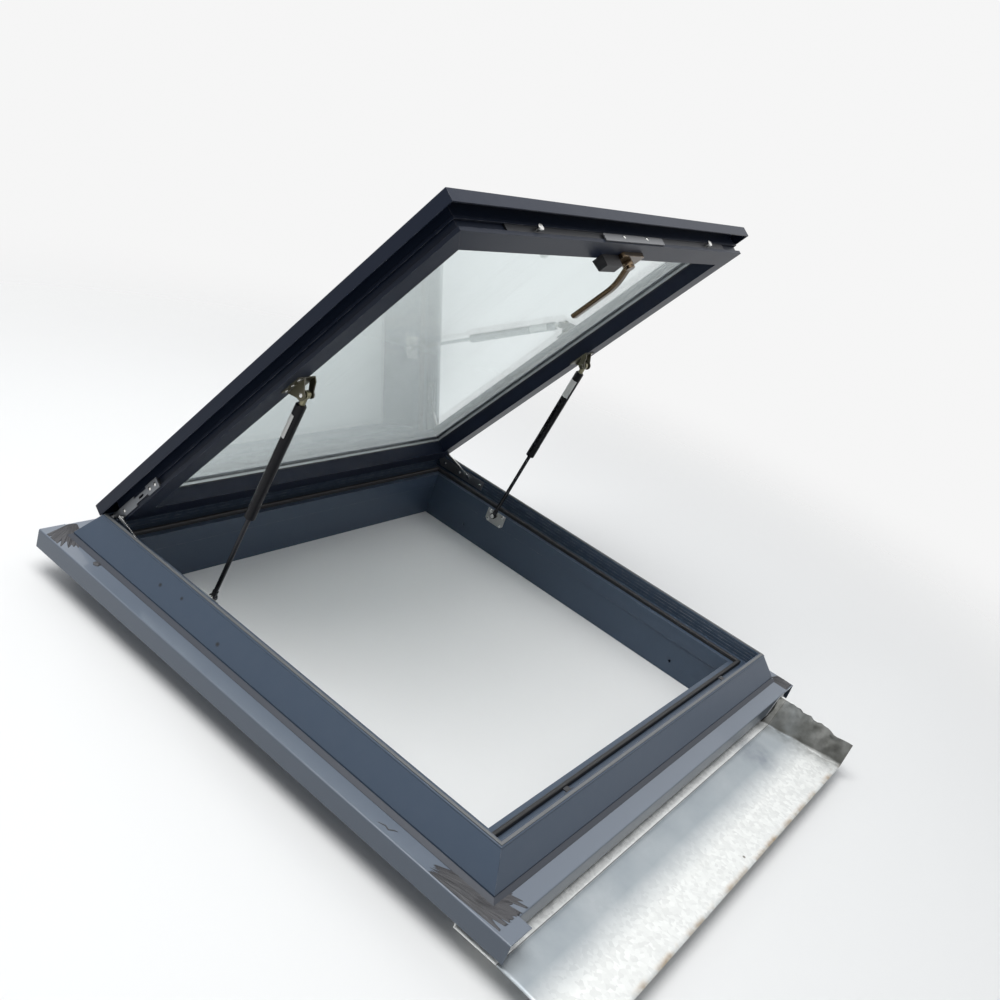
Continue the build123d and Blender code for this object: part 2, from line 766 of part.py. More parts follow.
def sash_outline():
    """Outer outline of the sash section, starting at the skirt's lower edge."""
    lip_in = box_inset + slot_lip
    deep = box_inset + slot_depth
    low = slot_top + slot_opening
    points = [(0, 0), (0, skirt_height), (glazing_edge, skirt_height), (glazing_edge, glazing_seat)]
    points += [(box_inner, glazing_seat), (box_inner, box_low), (box_inset, box_low), (box_inset, -low)]
    points += [(lip_in, -low), (lip_in, -low - slot_undercut), (deep, -low - slot_undercut)]
    points += [(deep, slot_undercut - slot_top), (lip_in, slot_undercut - slot_top), (lip_in, -slot_top)]
    points += [(box_inset, -slot_top), (box_inset, -box_shoulder), (box_inset + box_step, -box_shoulder)]
    points += [(box_inset + box_step, skirt_height - sheet_wall), (sheet_wall, skirt_height - sheet_wall)]
    points.append((sheet_wall, 0))
    return points


def sash_chamber():
    """The hollow chamber of the sash section."""
    wall = sheet_wall
    slot_in = box_inset + slot_depth + wall
    step_in = box_inset + box_step + wall
    return [
        (slot_in, wall + box_low),
        (box_inner - wall, wall + box_low),
        (box_inner - wall, glazing_seat - wall),
        (glazing_edge - wall, glazing_seat - wall),
        (glazing_edge - wall, skirt_height - wall),
        (step_in, skirt_height - wall),
        (step_in, -wall),
        (slot_in, -box_shoulder),
    ]


# Sash members, hollow extrusions mitred at the corners
for side in sides:
    with BuildPart() as member:
        mitred(sash_base, side, sash_outline(), [sash_chamber()], [((0, skirt_height), skirt_round)], 1.0)
        if side in hands:
            hand = hands[side]
            holes = [(hand * head_screw_x, y, box_low) for y in head_screws]
            drill(sash_base, holes, (0, 0, 1), screw_hole, sheet_wall * 2)
    save(member, f"sash_{'stile' if side in hands else 'rail'}_{side}")

# Corner cleats inside the sash box
with BuildPart() as sash_cleats:
    cleat_out = box_inset + slot_depth + sheet_wall + cleat_fit
    cleat_low = box_low + sheet_wall + cleat_fit
    cleat_high = -box_shoulder - cleat_fit
    for x_hand in (-1, 1):
        for corner_y, y_hand in ((sill_y, 1), (head_y, -1)):
            near_x = x_hand * (half_width - cleat_out)
            far_x = x_hand * (half_width - box_inner - cleat_arm)
            bar_x = x_hand * (half_width - cleat_out - cleat_wall)
            near_y = corner_y + y_hand * cleat_out
            far_y = corner_y + y_hand * (box_inner + cleat_arm)
            bar_y = corner_y + y_hand * (cleat_out + cleat_wall)
            with BuildSketch(sash_base.offset(cleat_low)) as angle:
                with BuildLine():
                    Polyline(
                        (near_x, near_y),
                        (far_x, near_y),
                        (far_x, bar_y),
                        (bar_x, bar_y),
                        (bar_x, far_y),
                        (near_x, far_y),
                        close=True,
                    )
                make_face()
            extrude(amount=cleat_high - cleat_low)
save(sash_cleats, "sash_corner_cleats")

# Double glazing between its gaskets, held by beads on top
glass_inset = glazing_edge + glass_clearance
inner_pane_z = glazing_seat + gasket_under
spacer_z = inner_pane_z + pane_thickness
outer_pane_z = spacer_z + pane_gap
glass_top_z = outer_pane_z + pane_thickness
bead_z = glass_top_z + gasket_over
for name, low in (("glass_inner_pane", inner_pane_z), ("glass_outer_pane", outer_pane_z)):
    with BuildPart() as pane:
        with BuildSketch(flat_plane(sash_base, low)):
            Rectangle(frame_width - 2 * glass_inset, frame_length - 2 * glass_inset)
        extrude(amount=pane_thickness)
    save(pane, name)

with BuildPart() as glass_spacer:
    ring(sash_base, glass_inset + spacer_inset, spacer_width, spacer_z, pane_gap)
save(glass_spacer, "glass_spacer")

gasket_width = box_inner - glass_inset - 2 * gasket_margin
with BuildPart() as gasket_inner:
    ring(sash_base, glass_inset + gasket_margin, gasket_width, glazing_seat, gasket_under)
save(gasket_inner, "glazing_gasket_inner")

with BuildPart() as gasket_outer:
    ring(sash_base, glass_inset + gasket_margin, gasket_width, glass_top_z, gasket_over)
save(gasket_outer, "glazing_gasket_outer")

bead_outline = [
    (glazing_edge, bead_z - bead_leg),
    (glazing_edge, bead_z + bead_sheet),
    (glazing_edge + bead_reach, bead_z + bead_sheet),
    (glazing_edge + bead_reach, bead_z),
    (glazing_edge + bead_sheet, bead_z),
    (glazing_edge + bead_sheet, bead_z - bead_leg),
]
for side in sides:
    with BuildPart() as bead:
        bead_rounds = [((glazing_edge + bead_reach, bead_z + bead_sheet), bead_round)]
        mitred(sash_base, side, bead_outline, [], bead_rounds, 0.0)
    save(bead, f"glazing_bead_{side}")

# Hinge leaves on the sash box, clamped in its side slot
sash_leaf_low = slot_mid_z - sash_leaf_height / 2
sash_leaf_high = slot_mid_z + sash_leaf_height / 2
for name, hand in hands.items():
    with BuildPart() as sash_leaf:
        waist_low = slot_mid_z - sash_leaf_waist / 2
        waist_high = slot_mid_z + sash_leaf_waist / 2
        wide_start = hinge_y - sash_leaf_wide - hinge_eye_radius * 3
        outline = [
            (sash_leaf_start, sash_leaf_low),
            (sash_leaf_start + sash_leaf_pad, sash_leaf_low),
            (sash_leaf_start + sash_leaf_pad, waist_low),
            (wide_start, waist_low),
            (wide_start, sash_leaf_low),
            (hinge_y - sash_leaf_heel, sash_leaf_low),
            (hinge_y - hinge_eye_radius * 0.5, hinge_local_z - hinge_eye_radius),
            (hinge_y, hinge_local_z - hinge_eye_radius),
            (hinge_y, hinge_local_z + hinge_eye_radius * 0.9),
            (hinge_y - sash_leaf_nose, sash_leaf_high),
            (wide_start, sash_leaf_high),
            (wide_start, waist_high),
            (sash_leaf_start + sash_leaf_pad, waist_high),
            (sash_leaf_start + sash_leaf_pad, sash_leaf_high),
            (sash_leaf_start, sash_leaf_high),
        ]
        leaf_plate(sash_base, hand * sash_leaf_x, -hand * hinge_leaf, outline)
        eye = (hand * sash_leaf_x, hinge_y, hinge_local_z)
        disc(sash_base, eye, (-hand, 0, 0), hinge_eye_radius, hinge_leaf)
        drill(sash_base, [eye], (1, 0, 0), hinge_pin_radius + hinge_running_fit, hinge_leaf * 2)
        holes = [(hand * sash_leaf_x, y, slot_mid_z) for y in sash_leaf_screws]
        drill(sash_base, holes, (1, 0, 0), screw_hole, hinge_leaf * 2)
        slot_y = (sash_leaf_start + sash_leaf_pad + wide_start) / 2
        slot_plane = Plane(
            origin=at(sash_base, hand * sash_leaf_x, slot_y, slot_mid_z),
            x_dir=toward(sash_base, 0, 1, 0),
            z_dir=toward(sash_base, -hand, 0, 0),
        )
        with BuildSketch(slot_plane):
            SlotOverall(leaf_slot_length, leaf_slot_width)
        extrude(amount=hinge_leaf, mode=Mode.SUBTRACT)
    save(sash_leaf, f"hinge_sash_leaf_{name}")

nut_x = half_width - box_inset - slot_lip - lock_bar_play
nut_depth = slot_depth - slot_lip - lock_bar_play * 2
nut_height = slot_opening + 2 * slot_undercut - 2 * lock_bar_play
with BuildPart() as slot_nuts:
    for hand in hands.values():
        for y in sash_leaf_screws:
            middle = at(sash_base, hand * (nut_x - nut_depth / 2), y, slot_mid_z)
            with Locations(Plane(origin=middle, x_dir=(1, 0, 0), z_dir=sash_base.z_dir)):
                Box(nut_depth, nut_length, nut_height)
        nut_holes = [(hand * nut_x, y, slot_mid_z) for y in sash_leaf_screws]
        drill(sash_base, nut_holes, (1, 0, 0), screw_hole, nut_depth)
save(slot_nuts, "hinge_slot_nuts")

with BuildPart() as hinge_sash_screws:
    for hand in hands.values():
        seats = [(hand * sash_leaf_x, y, slot_mid_z) for y in sash_leaf_screws]
        pan_screws(sash_base, seats, (-hand, 0, 0), hinge_leaf + slot_lip + nut_depth)
save(hinge_sash_screws, "hinge_sash_screws")

# Gas strut heads: a folded bracket under the sash box with an outer ear and an inner hook
plate_out_x = strut_x + head_ear_gap + head_sheet + head_plate_out
ear_out_x = strut_x + head_ear_gap + head_sheet
ear_in_x = strut_x - head_ear_gap - head_sheet
for name, hand in hands.items():
    with BuildPart() as strut_head:
        plate_low = box_low - head_sheet
        half_plate = head_plate_length / 2
        middle = at(sash_base, hand * (plate_out_x + ear_in_x) / 2, head_shut_y, box_low - head_sheet / 2)
        with Locations(Plane(origin=middle, x_dir=(1, 0, 0), z_dir=sash_base.z_dir)):
            Box(plate_out_x - ear_in_x, head_plate_length, head_sheet)
        outer_ear = [
            (head_shut_y - half_plate, plate_low),
            (head_shut_y - head_ear_radius, head_local_z),
            (head_shut_y + head_ear_radius, head_local_z),
            (head_shut_y + half_plate, plate_low),
        ]
        leaf_plate(sash_base, hand * ear_out_x, -hand * head_sheet, outer_ear)
        hook = [
            (head_shut_y - half_plate, plate_low),
            (head_shut_y - half_plate + head_hook_lean, plate_low - head_hook_low),
            (head_shut_y - head_ear_radius * 0.8, head_local_z),
            (head_shut_y + head_ear_radius * 0.8, head_local_z),
            (head_shut_y - half_plate + head_hook_width + head_hook_lean, plate_low),
        ]
        leaf_plate(sash_base, hand * (ear_in_x + head_sheet), -hand * head_sheet, hook)
        outer_pivot = (hand * ear_out_x, head_shut_y, head_local_z)
        inner_pivot = (hand * (ear_in_x + head_sheet), head_shut_y, head_local_z)
        disc(sash_base, outer_pivot, (-hand, 0, 0), head_ear_radius, head_sheet)
        disc(sash_base, inner_pivot, (-hand, 0, 0), head_ear_radius * 0.8, head_sheet)
        cap = (hand * ear_in_x, head_shut_y, head_local_z)
        disc(sash_base, cap, (-hand, 0, 0), strut_pin_radius * 1.3, pivot_cap)
        holes = [(hand * head_screw_x, y, box_low) for y in head_screws]
        drill(sash_base, holes, (0, 0, 1), screw_hole, head_sheet * 2)
    save(strut_head, f"strut_head_{name}")

with BuildPart() as strut_head_screws:
    for hand in hands.values():
        seats = [(hand * head_screw_x, y, box_low - head_sheet) for y in head_screws]
        pan_screws(sash_base, seats, (0, 0, 1), head_sheet * 2 + sheet_wall)
save(strut_head_screws, "strut_head_screws")

# Lock cover on the sill rail's outer face, its tongue in the slot
with BuildPart() as lock_cover:
    cover_length = lock_plate_left + lock_plate_right
    cover_x = (lock_plate_right - lock_plate_left) / 2
    cover_z = lock_plate_height / 2 - lock_plate_low
    face = Plane(
        origin=at(sash_base, cover_x, lock_face_y, cover_z),
        x_dir=toward(sash_base, 1, 0, 0),
        z_dir=toward(sash_base, 0, -1, 0),
    )
    with BuildSketch(face):
        Rectangle(cover_length, lock_plate_height)
    extrude(amount=lock_plate_sheet)
    tongue_low = -slot_top - slot_opening + lock_bar_play
    tongue_high = lock_plate_height - lock_plate_low
    tongue = Plane(
        origin=at(sash_base, cover_x, lock_face_y, (tongue_low + tongue_high) / 2),
        x_dir=toward(sash_base, 1, 0, 0),
        z_dir=toward(sash_base, 0, 1, 0),
    )
    with BuildSketch(tongue):
        Rectangle(cover_length * 0.8, tongue_high - tongue_low)
    extrude(amount=slot_lip)
    screw_rows = [(x, lock_face_y, (tongue_low + tongue_high) / 2) for x in lock_screw_places]
    drill(sash_base, screw_rows, (0, 1, 0), screw_hole, lock_plate_sheet * 2)
save(lock_cover, "lock_cover")

with BuildPart() as lock_cover_screws:
    seats = [(x, lock_face_y - lock_plate_sheet, (tongue_low + tongue_high) / 2) for x in lock_screw_places]
    pan_screws(sash_base, seats, (0, 1, 0), lock_plate_sheet + slot_lip)
save(lock_cover_screws, "lock_cover_screws")

# Lock bar in the slot and its two mushroom cams
bar_y = lock_face_y + slot_lip + lock_bar_play
with BuildPart() as lock_bar:
    middle = at(sash_base, lock_x, bar_y + nut_depth / 2, slot_mid_z)
    with Locations(Plane(origin=middle, x_dir=(1, 0, 0), z_dir=sash_base.z_dir)):
        Box(lock_bar_length, nut_depth, nut_height)
save(lock_bar, "lock_bar")

with BuildPart() as lock_cams:
    for hand in hands.values():
        start = (lock_x + hand * cam_span / 2, bar_y, slot_mid_z)
        disc(sash_base, start, (0, -1, 0), cam_neck_radius, cam_stand)
        cap = (start[0], bar_y - cam_stand + cam_head_thickness, slot_mid_z)
        disc(sash_base, cap, (0, -1, 0), cam_head_radius, cam_head_thickness)
save(lock_cams, "lock_cams")

# Lock case and handle base under the sill rail, inboard of the frame's inner wall when shut
handle_y = sill_y + inner_wall_in + handle_shut_gap + handle_width / 2
lock_case_inset = inner_wall_in + lock_case_shut_gap
case_right = handle_x - handle_base_length / 2
with BuildPart() as lock_case:
    case_middle = (case_right - lock_case_length / 2, sill_y + lock_case_inset + lock_case_width / 2, box_low)
    seat = Plane(origin=at(sash_base, *case_middle), x_dir=(1, 0, 0), z_dir=toward(sash_base, 0, 0, -1))
    with BuildSketch(seat):
        Rectangle(lock_case_length, lock_case_width)
    extrude(amount=lock_case_height, taper=lock_case_taper)
save(lock_case, "lock_case")

with BuildPart() as handle_base:
    base_y = sill_y + seal_inset + seal_width + handle_base_seal_gap + handle_base_width / 2
    down = toward(sash_base, 0, 0, -1)
    seat = Plane(origin=at(sash_base, handle_x, base_y, box_low), x_dir=(1, 0, 0), z_dir=down)
    with BuildSketch(seat):
        RectangleRounded(handle_base_length, handle_base_width, handle_base_width * 0.2)
    extrude(amount=handle_base_height, taper=handle_base_taper)
    with BuildSketch(Plane(origin=at(sash_base, handle_x, handle_y, box_low), z_dir=down)):
        Circle(spindle_radius + spindle_fit)
    extrude(amount=handle_base_height, mode=Mode.SUBTRACT)
save(handle_base, "handle_base")

# Lever: hub, spindle and a bent flat grip
hub_top = box_low - handle_base_height - handle_running_gap
with BuildPart() as lever:
    disc(sash_base, (handle_x, handle_y, hub_top), (0, 0, -1), handle_hub_radius, handle_hub_height)
    spindle_length = handle_base_height + handle_running_gap - spindle_end_gap
    disc(sash_base, (handle_x, handle_y, hub_top), (0, 0, 1), spindle_radius, spindle_length)
    with BuildLine(upright_plane(sash_base, handle_x)) as grip_path:
        bend = Bezier(
            (handle_y - handle_hub_radius * 0.2, hub_top - handle_hub_height * 0.55),
            (handle_y + handle_reach * 0.14, hub_top - handle_hub_height),
            (handle_y + handle_reach * 0.22, box_low - handle_drop),
            (handle_y + handle_reach * 0.42, box_low - handle_drop),
        )
        Line(bend @ 1, (handle_y + handle_reach, box_low - handle_drop))
    grip_run = grip_path.wires()[0]
    grip_start = Plane(origin=grip_run @ 0, z_dir=grip_run % 0, x_dir=toward(sash_base, 1, 0, 0))
    with BuildSketch(grip_start):
        RectangleRounded(handle_width, handle_thickness, handle_thickness * 0.45)
    sweep(path=grip_run)
save(lever, "handle_lever")


# Gas struts: rod and piston on the frame, tube and head fitting on the sash
def along(hand, distance):
    """Point on a strut's axis, measured from its foot pivot."""
    return Vector(
        hand * strut_x,
        foot_y - distance * cos(strut_rise),
        foot_z_pivot + distance * sin(strut_rise),
    )


def strut_turning(hand, outline):
    """Round piece turned about a strut's axis from its radius and distance outline."""
    foot = along(hand, 0)
    ahead = (along(hand, 1) - foot).normalized()
    with BuildSketch(Plane(origin=foot, x_dir=(1, 0, 0), z_dir=Vector(1, 0, 0).cross(ahead))) as half:
        with BuildLine():
            Polyline(*outline, close=True)
        make_face()
    revolve(half.sketch, axis=Axis(foot, ahead))


tube_foot = strut_span - body_length
tube_head = strut_span - head_stub
bore = tube_radius - tube_wall
piston_end = shut_span - head_stub - tube_cap - piston_spare
socket_start = pin_collar_radius + socket_gap
end_top = strut_span - socket_start
end_outline = [(0, tube_head), (socket_radius, tube_head), (socket_radius, end_top), (0, end_top)]
for name, hand in hands.items():
    with BuildPart() as strut_rod:
        strut_turning(
            hand,
            [
                (0, socket_start),
                (socket_radius, socket_start),
                (socket_radius, socket_length),
                (rod_radius, socket_length),
                (rod_radius, piston_end - piston_length),
                (bore - piston_gap, piston_end - piston_length),
                (bore - piston_gap, piston_end),
                (0, piston_end),
            ],
        )
        eye = (hand * (strut_x + eye_width / 2), foot_y, foot_z_pivot)
        disc(frame_base, eye, (-hand, 0, 0), eye_radius, eye_width)
        drill(frame_base, [eye], (1, 0, 0), strut_pin_radius + strut_running_fit, eye_width * 2)
    save(strut_rod, f"strut_rod_{name}")

    with BuildPart() as strut_tube:
        strut_turning(
            hand,
            [
                (rod_radius + strut_running_fit, tube_foot),
                (collar_radius, tube_foot),
                (collar_radius, tube_foot + collar_length),
                (tube_radius, tube_foot + collar_length),
                (tube_radius, tube_head - tube_cap),
                (tube_radius - tube_cap, tube_head),
                (0, tube_head),
                (0, tube_head - tube_cap),
                (bore, tube_head - tube_cap),
                (bore, tube_foot + gland_length),
                (rod_radius + strut_running_fit, tube_foot + gland_length),
            ],
        )
    save(strut_tube, f"strut_cylinder_{name}")

    with BuildPart() as strut_end:
        strut_turning(hand, end_outline)
        centre = along(hand, strut_span)
        eye = (centre.X + hand * eye_width / 2, centre.Y, centre.Z)
        disc(frame_base, eye, (-hand, 0, 0), eye_radius, eye_width)
        stud = (centre.X + hand * (head_ear_gap - pivot_gap), centre.Y, centre.Z)
        disc(frame_base, stud, (-hand, 0, 0), strut_pin_radius, 2 * (head_ear_gap - pivot_gap))
    save(strut_end, f"strut_end_{name}")
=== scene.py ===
"""Dressed model of a top-hung roof window, built around its packed construction."""

import json
import logging
from collections.abc import Iterable
from dataclasses import dataclass
from enum import Enum
from functools import cached_property
from math import atan2, cos, sin

import bmesh
import bpy
from mathutils import Matrix, Vector, noise

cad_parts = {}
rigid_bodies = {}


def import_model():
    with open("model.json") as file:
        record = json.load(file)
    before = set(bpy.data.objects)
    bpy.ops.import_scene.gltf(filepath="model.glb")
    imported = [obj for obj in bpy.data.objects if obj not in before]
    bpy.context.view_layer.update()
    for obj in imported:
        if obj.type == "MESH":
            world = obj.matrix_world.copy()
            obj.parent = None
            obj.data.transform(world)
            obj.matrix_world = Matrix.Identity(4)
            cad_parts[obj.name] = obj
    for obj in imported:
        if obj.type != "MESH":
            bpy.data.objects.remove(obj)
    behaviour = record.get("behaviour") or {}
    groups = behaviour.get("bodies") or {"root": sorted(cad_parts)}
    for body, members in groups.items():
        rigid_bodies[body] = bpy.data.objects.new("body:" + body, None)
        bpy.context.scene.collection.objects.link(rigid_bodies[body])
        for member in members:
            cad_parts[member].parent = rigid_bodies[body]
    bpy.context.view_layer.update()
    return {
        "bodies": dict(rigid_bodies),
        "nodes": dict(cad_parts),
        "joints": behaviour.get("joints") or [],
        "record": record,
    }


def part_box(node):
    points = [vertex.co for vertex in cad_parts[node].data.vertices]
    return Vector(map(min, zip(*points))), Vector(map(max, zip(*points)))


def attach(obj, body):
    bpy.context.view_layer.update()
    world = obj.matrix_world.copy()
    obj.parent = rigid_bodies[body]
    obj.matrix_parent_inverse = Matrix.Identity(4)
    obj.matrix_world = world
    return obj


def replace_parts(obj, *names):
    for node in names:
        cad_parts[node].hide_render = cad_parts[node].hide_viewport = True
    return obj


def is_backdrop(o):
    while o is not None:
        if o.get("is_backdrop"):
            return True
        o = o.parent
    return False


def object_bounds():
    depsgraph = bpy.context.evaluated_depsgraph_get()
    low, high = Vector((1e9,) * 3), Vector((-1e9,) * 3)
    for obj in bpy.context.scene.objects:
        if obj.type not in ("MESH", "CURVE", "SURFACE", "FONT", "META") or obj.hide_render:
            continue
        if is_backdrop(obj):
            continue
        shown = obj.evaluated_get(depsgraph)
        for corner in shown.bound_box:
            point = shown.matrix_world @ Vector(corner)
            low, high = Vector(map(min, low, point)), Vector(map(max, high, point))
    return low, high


LOG = logging.getLogger("roof_window")
Pair = tuple[float, float]
Point = tuple[float, float, float]
Colour = Point
Node = bpy.types.Node
Socket = bpy.types.NodeSocket
Tree = bpy.types.NodeTree
Shape = bmesh.types.BMesh
Face = bmesh.types.BMFace
Vert = bmesh.types.BMVert
Inputs = dict[str | int, Socket | float | tuple[float, ...]]


class Body(Enum):
    """Bodies of the window that new pieces ride on."""

    FRAME = "frame"
    SASH = "sash"
    HANDLE = "handle"
    CYLINDER_LEFT = "cylinder_left"
    CYLINDER_RIGHT = "cylinder_right"


class Surface(Enum):
    """Kinds of surface a finish can have."""

    GRAIN = "grain"
    SPANGLE = "spangle"
    GLASS = "glass"


@dataclass(frozen=True)
class Finish:
    """One finish: its colours, gloss, grain, worn edges, dust and painted light.

    Film is how even the dust and the flange's painted top light lie, from patches at 0 to a whole
    layer at 1. Edge is the width in metres over which sharp edges are softened and worn, and on the
    bronze lit with a painted highlight.
    """

    name: str
    colour: Colour
    roughness: float = 0.5
    metallic: float = 0.0
    surface: Surface = Surface.GRAIN
    grain_scale: float = 900.0
    grain_depth: float = 0.15
    mottle: float = 0.05
    wear_and_highlight: float = 0.0
    wear_and_highlight_colour: Colour = (0.45, 0.46, 0.48)
    dust: float = 0.0
    film: float = 0.0
    dust_and_top_light_colour: Colour = (0.27, 0.28, 0.29)
    coat: float = 0.0
    edge: float = 0.0008
    specular: float = 0.5


class Finishes:
    """Every finish of the window."""

    frame_coat = Finish(
        "frame_coat", (0.048, 0.071, 0.107), 0.38, wear_and_highlight=0.45, dust=0.05, coat=0.08, specular=0.32
    )
    # The flange coat's base is darkened as painted shade for its downturned faces, and its
    # near-even up-facing layer in the dust colour is painted light and sheen on the lit tops, not
    # dust.
    flange_coat = Finish(
        "flange_coat", (0.066, 0.087, 0.118), 0.32, wear_and_highlight=0.40, dust=0.96, film=0.86,
        dust_and_top_light_colour=(0.145, 0.172, 0.212), coat=0.30, specular=0.42
    )
    sash_coat = Finish(
        "sash_coat", (0.011, 0.016, 0.030), 0.34, wear_and_highlight=0.30, dust=0.03, specular=0.14
    )
    mill = Finish("mill_aluminium", (0.62, 0.63, 0.64), 0.35, 1.0)
    lip_rubber = Finish("lip_rubber", (0.135, 0.140, 0.145), 0.55)
    rubber = Finish("black_rubber", (0.012, 0.012, 0.013), 0.55, dust=0.04)
    sealant = Finish(
        "sealant", (0.052, 0.052, 0.057), 0.50, grain_scale=160.0, grain_depth=0.5, mottle=0.22
    )
    bead_sealant = Finish(
        "bead_sealant", (0.040, 0.046, 0.060), 0.50, grain_scale=160.0, grain_depth=0.4
    )
    galvanised = Finish("galvanised", (0.76, 0.77, 0.75), 0.42, 0.30, Surface.SPANGLE, mottle=0.10)
    dull_steel = Finish("dull_steel", (0.21, 0.22, 0.235), 0.42, 0.8, dust=0.2)
    dark_steel = Finish("dark_steel", (0.045, 0.047, 0.052), 0.40, 0.6)
    plate_zinc = Finish("plate_zinc", (0.40, 0.405, 0.395), 0.30, 0.9, mottle=0.25, wear_and_highlight=0.6)
    bright_zinc = Finish("bright_zinc", (0.66, 0.66, 0.64), 0.26, 1.0, grain_depth=0.25)
    khaki_zinc = Finish("khaki_zinc", (0.24, 0.225, 0.145), 0.34, 0.8, mottle=0.3, wear_and_highlight=0.4)
    dark_khaki = Finish("dark_khaki", (0.105, 0.098, 0.066), 0.34, 0.8, mottle=0.3, wear_and_highlight=0.7)
    cover = Finish("cover_aluminium", (0.16, 0.165, 0.175), 0.33, 0.75, wear_and_highlight=0.6)
    black_plastic = Finish("black_plastic", (0.010, 0.010, 0.012), 0.45, specular=0.3)
    # The bronze's pale-gold edge colour is a painted highlight along the lever's edges, not wear.
    bronze = Finish(
        "bronze", (0.080, 0.056, 0.033), 0.20, 0.9, wear_and_highlight=1.0, wear_and_highlight_colour=(0.80, 0.62, 0.42),
        edge=0.0014
    )
    rod = Finish("rod_steel", (0.030, 0.030, 0.034), 0.25, 0.8)
    black_enamel = Finish("black_enamel", (0.004, 0.004, 0.006), 0.28, specular=0.18)
    label = Finish("bare_label", (0.60, 0.60, 0.58), 0.5, dust=0.2)
    glass = Finish("glass", (0.93, 0.97, 0.97), 0.02, surface=Surface.GLASS)


@dataclass(frozen=True)
class Patch:
    """A noise pattern whose values from low to high become 0 to 1."""

    scale: float
    detail: float
    low: float
    high: float


@dataclass(frozen=True)
class Mark:
    """A coloured band on the apron, between places in metres along its Y or its skewed axis.

    The band comes in from start to full and goes out from end to fade.
    """

    axis: str
    start: float
    full: float
    end: float
    fade: float
    colour: Colour
    scale: float = 18.0
    clear: float = 0.2


# How far the apron's turned-up end leans across for each metre along Y.
APRON_SKEW = 0.265
APRON_MARKS = (
    # A thin dark line of painted shade along the apron's crease.
    Mark("Y", -0.4622, -0.4616, -0.4600, -0.4606, (0.12, 0.125, 0.13), 9.0, -2.0),
    # A darker band of painted shadow and blurred reflection, starting at the crease and fading out
    # down the slope.
    Mark("Y", -0.555, -0.505, -0.4612, -0.4630, (0.27, 0.31, 0.34), 9.0, -0.9),
    Mark("Y", -0.603, -0.6135, -0.640, -0.612, (0.40, 0.27, 0.14), 30.0, 0.42),
    # Grime before and on the apron's turned-up end; the near-black on the end is also painted
    # shadow.
    Mark("Skew", 0.250, 0.290, 0.300, 0.296, (0.17, 0.175, 0.165), 40.0, 0.25),
    Mark("Skew", 0.2915, 0.2945, 0.900, 0.800, (0.030, 0.031, 0.025), 24.0, -1.2),
)


@dataclass(frozen=True)
class Spot:
    """A round mark, by its middle and radius in metres."""

    place: Point
    radius: float
    colour: Colour
    clear: float = 0.3


APRON_SPOTS = (
    Spot((0.292, -0.490, 0.038), 0.052, (0.24, 0.27, 0.30)),
    Spot((0.0012, -0.5955, 0.0317), 0.0035, (0.06, 0.04, 0.02), -2.0),
)
COAT_SPOTS = (
    Spot((-0.489, 0.352, 0.116), 0.0045, (0.012, 0.013, 0.015), -2.0),
    Spot((-0.485, 0.300, 0.120), 0.0040, (0.014, 0.014, 0.016), -2.0),
    Spot((-0.496, 0.190, 0.105), 0.0050, (0.020, 0.020, 0.022), -2.0),
)

# The first entry that a node's name starts with gives its finish.
NODE_FINISHES: dict[str, Finish] = {
    "frame_corner_cleats": Finishes.mill,
    "frame_": Finishes.frame_coat,
    "flange_": Finishes.flange_coat,
    "sash_corner_cleats": Finishes.mill,
    "sash_seal": Finishes.rubber,
    "sash_": Finishes.sash_coat,
    "glazing_bead": Finishes.sash_coat,
    "glazing_gasket": Finishes.rubber,
    "glass_spacer": Finishes.mill,
    "glass_": Finishes.glass,
    "rim_gasket": Finishes.lip_rubber,
    "sealant_bead": Finishes.bead_sealant,
    "apron_flashing": Finishes.galvanised,
    "hinge_frame_leaf": Finishes.dull_steel,
    "hinge_sash_leaf": Finishes.dull_steel,
    "hinge_": Finishes.bright_zinc,
    "strut_rod": Finishes.rod,
    "strut_cylinder": Finishes.black_enamel,
    "strut_head_screws": Finishes.bright_zinc,
    "strut_head": Finishes.dark_khaki,
    "strut_end": Finishes.khaki_zinc,
    "strut_foot_screws": Finishes.bright_zinc,
    "strut_foot_pins": Finishes.bright_zinc,
    "strut_foot": Finishes.plate_zinc,
    "keeper_": Finishes.dark_steel,
    "lock_cover_screws": Finishes.bright_zinc,
    "lock_cover": Finishes.cover,
    "lock_bar": Finishes.dark_steel,
    "lock_case": Finishes.black_plastic,
    "lock_": Finishes.bright_zinc,
    "handle_": Finishes.bronze,
}


def fill(node: Node, inputs: Inputs) -> None:
    """Fills a node's inputs.

    Args:
        node: the node.
        inputs: for each input, an output to link to it or a value.
    """
    for label, value in inputs.items():
        if isinstance(value, Socket):
            node.id_data.links.new(value, node.inputs[label])
        else:
            node.inputs[label].default_value = value


def add(
    tree: Tree, kind: str, inputs: Inputs | None = None, **settings: str | int | bool | Tree
) -> Node:
    """Adds a shader node.

    Args:
        tree: the tree to add to.
        kind: the node's kind.
        inputs: what goes into its inputs.
        settings: its other settings.

    Returns:
        The node.
    """
    node = tree.nodes.new(f"ShaderNode{kind}")
    for label, value in settings.items():
        setattr(node, label, value)
    fill(node, inputs or {})
    return node


def combine(tree: Tree, operation: str, a: Socket, b: Socket) -> Socket:
    """Combines two values into one between 0 and 1.

    Args:
        tree: the tree to add to.
        operation: the sum to do.
        a: one value.
        b: the other.

    Returns:
        The result.
    """
    return add(tree, "Math", {0: a, 1: b}, operation=operation, use_clamp=True).outputs["Value"]


def spread(tree: Tree, source: Socket, low: float, high: float) -> Socket:
    """Spreads a value between two limits to 0 to 1.

    Args:
        tree: the tree to add to.
        source: the value.
        low: the value that becomes 0.
        high: the value that becomes 1.

    Returns:
        The spread value.
    """
    inputs = {"Value": source, "From Min": low, "From Max": high}
    return add(tree, "MapRange", inputs).outputs["Result"]


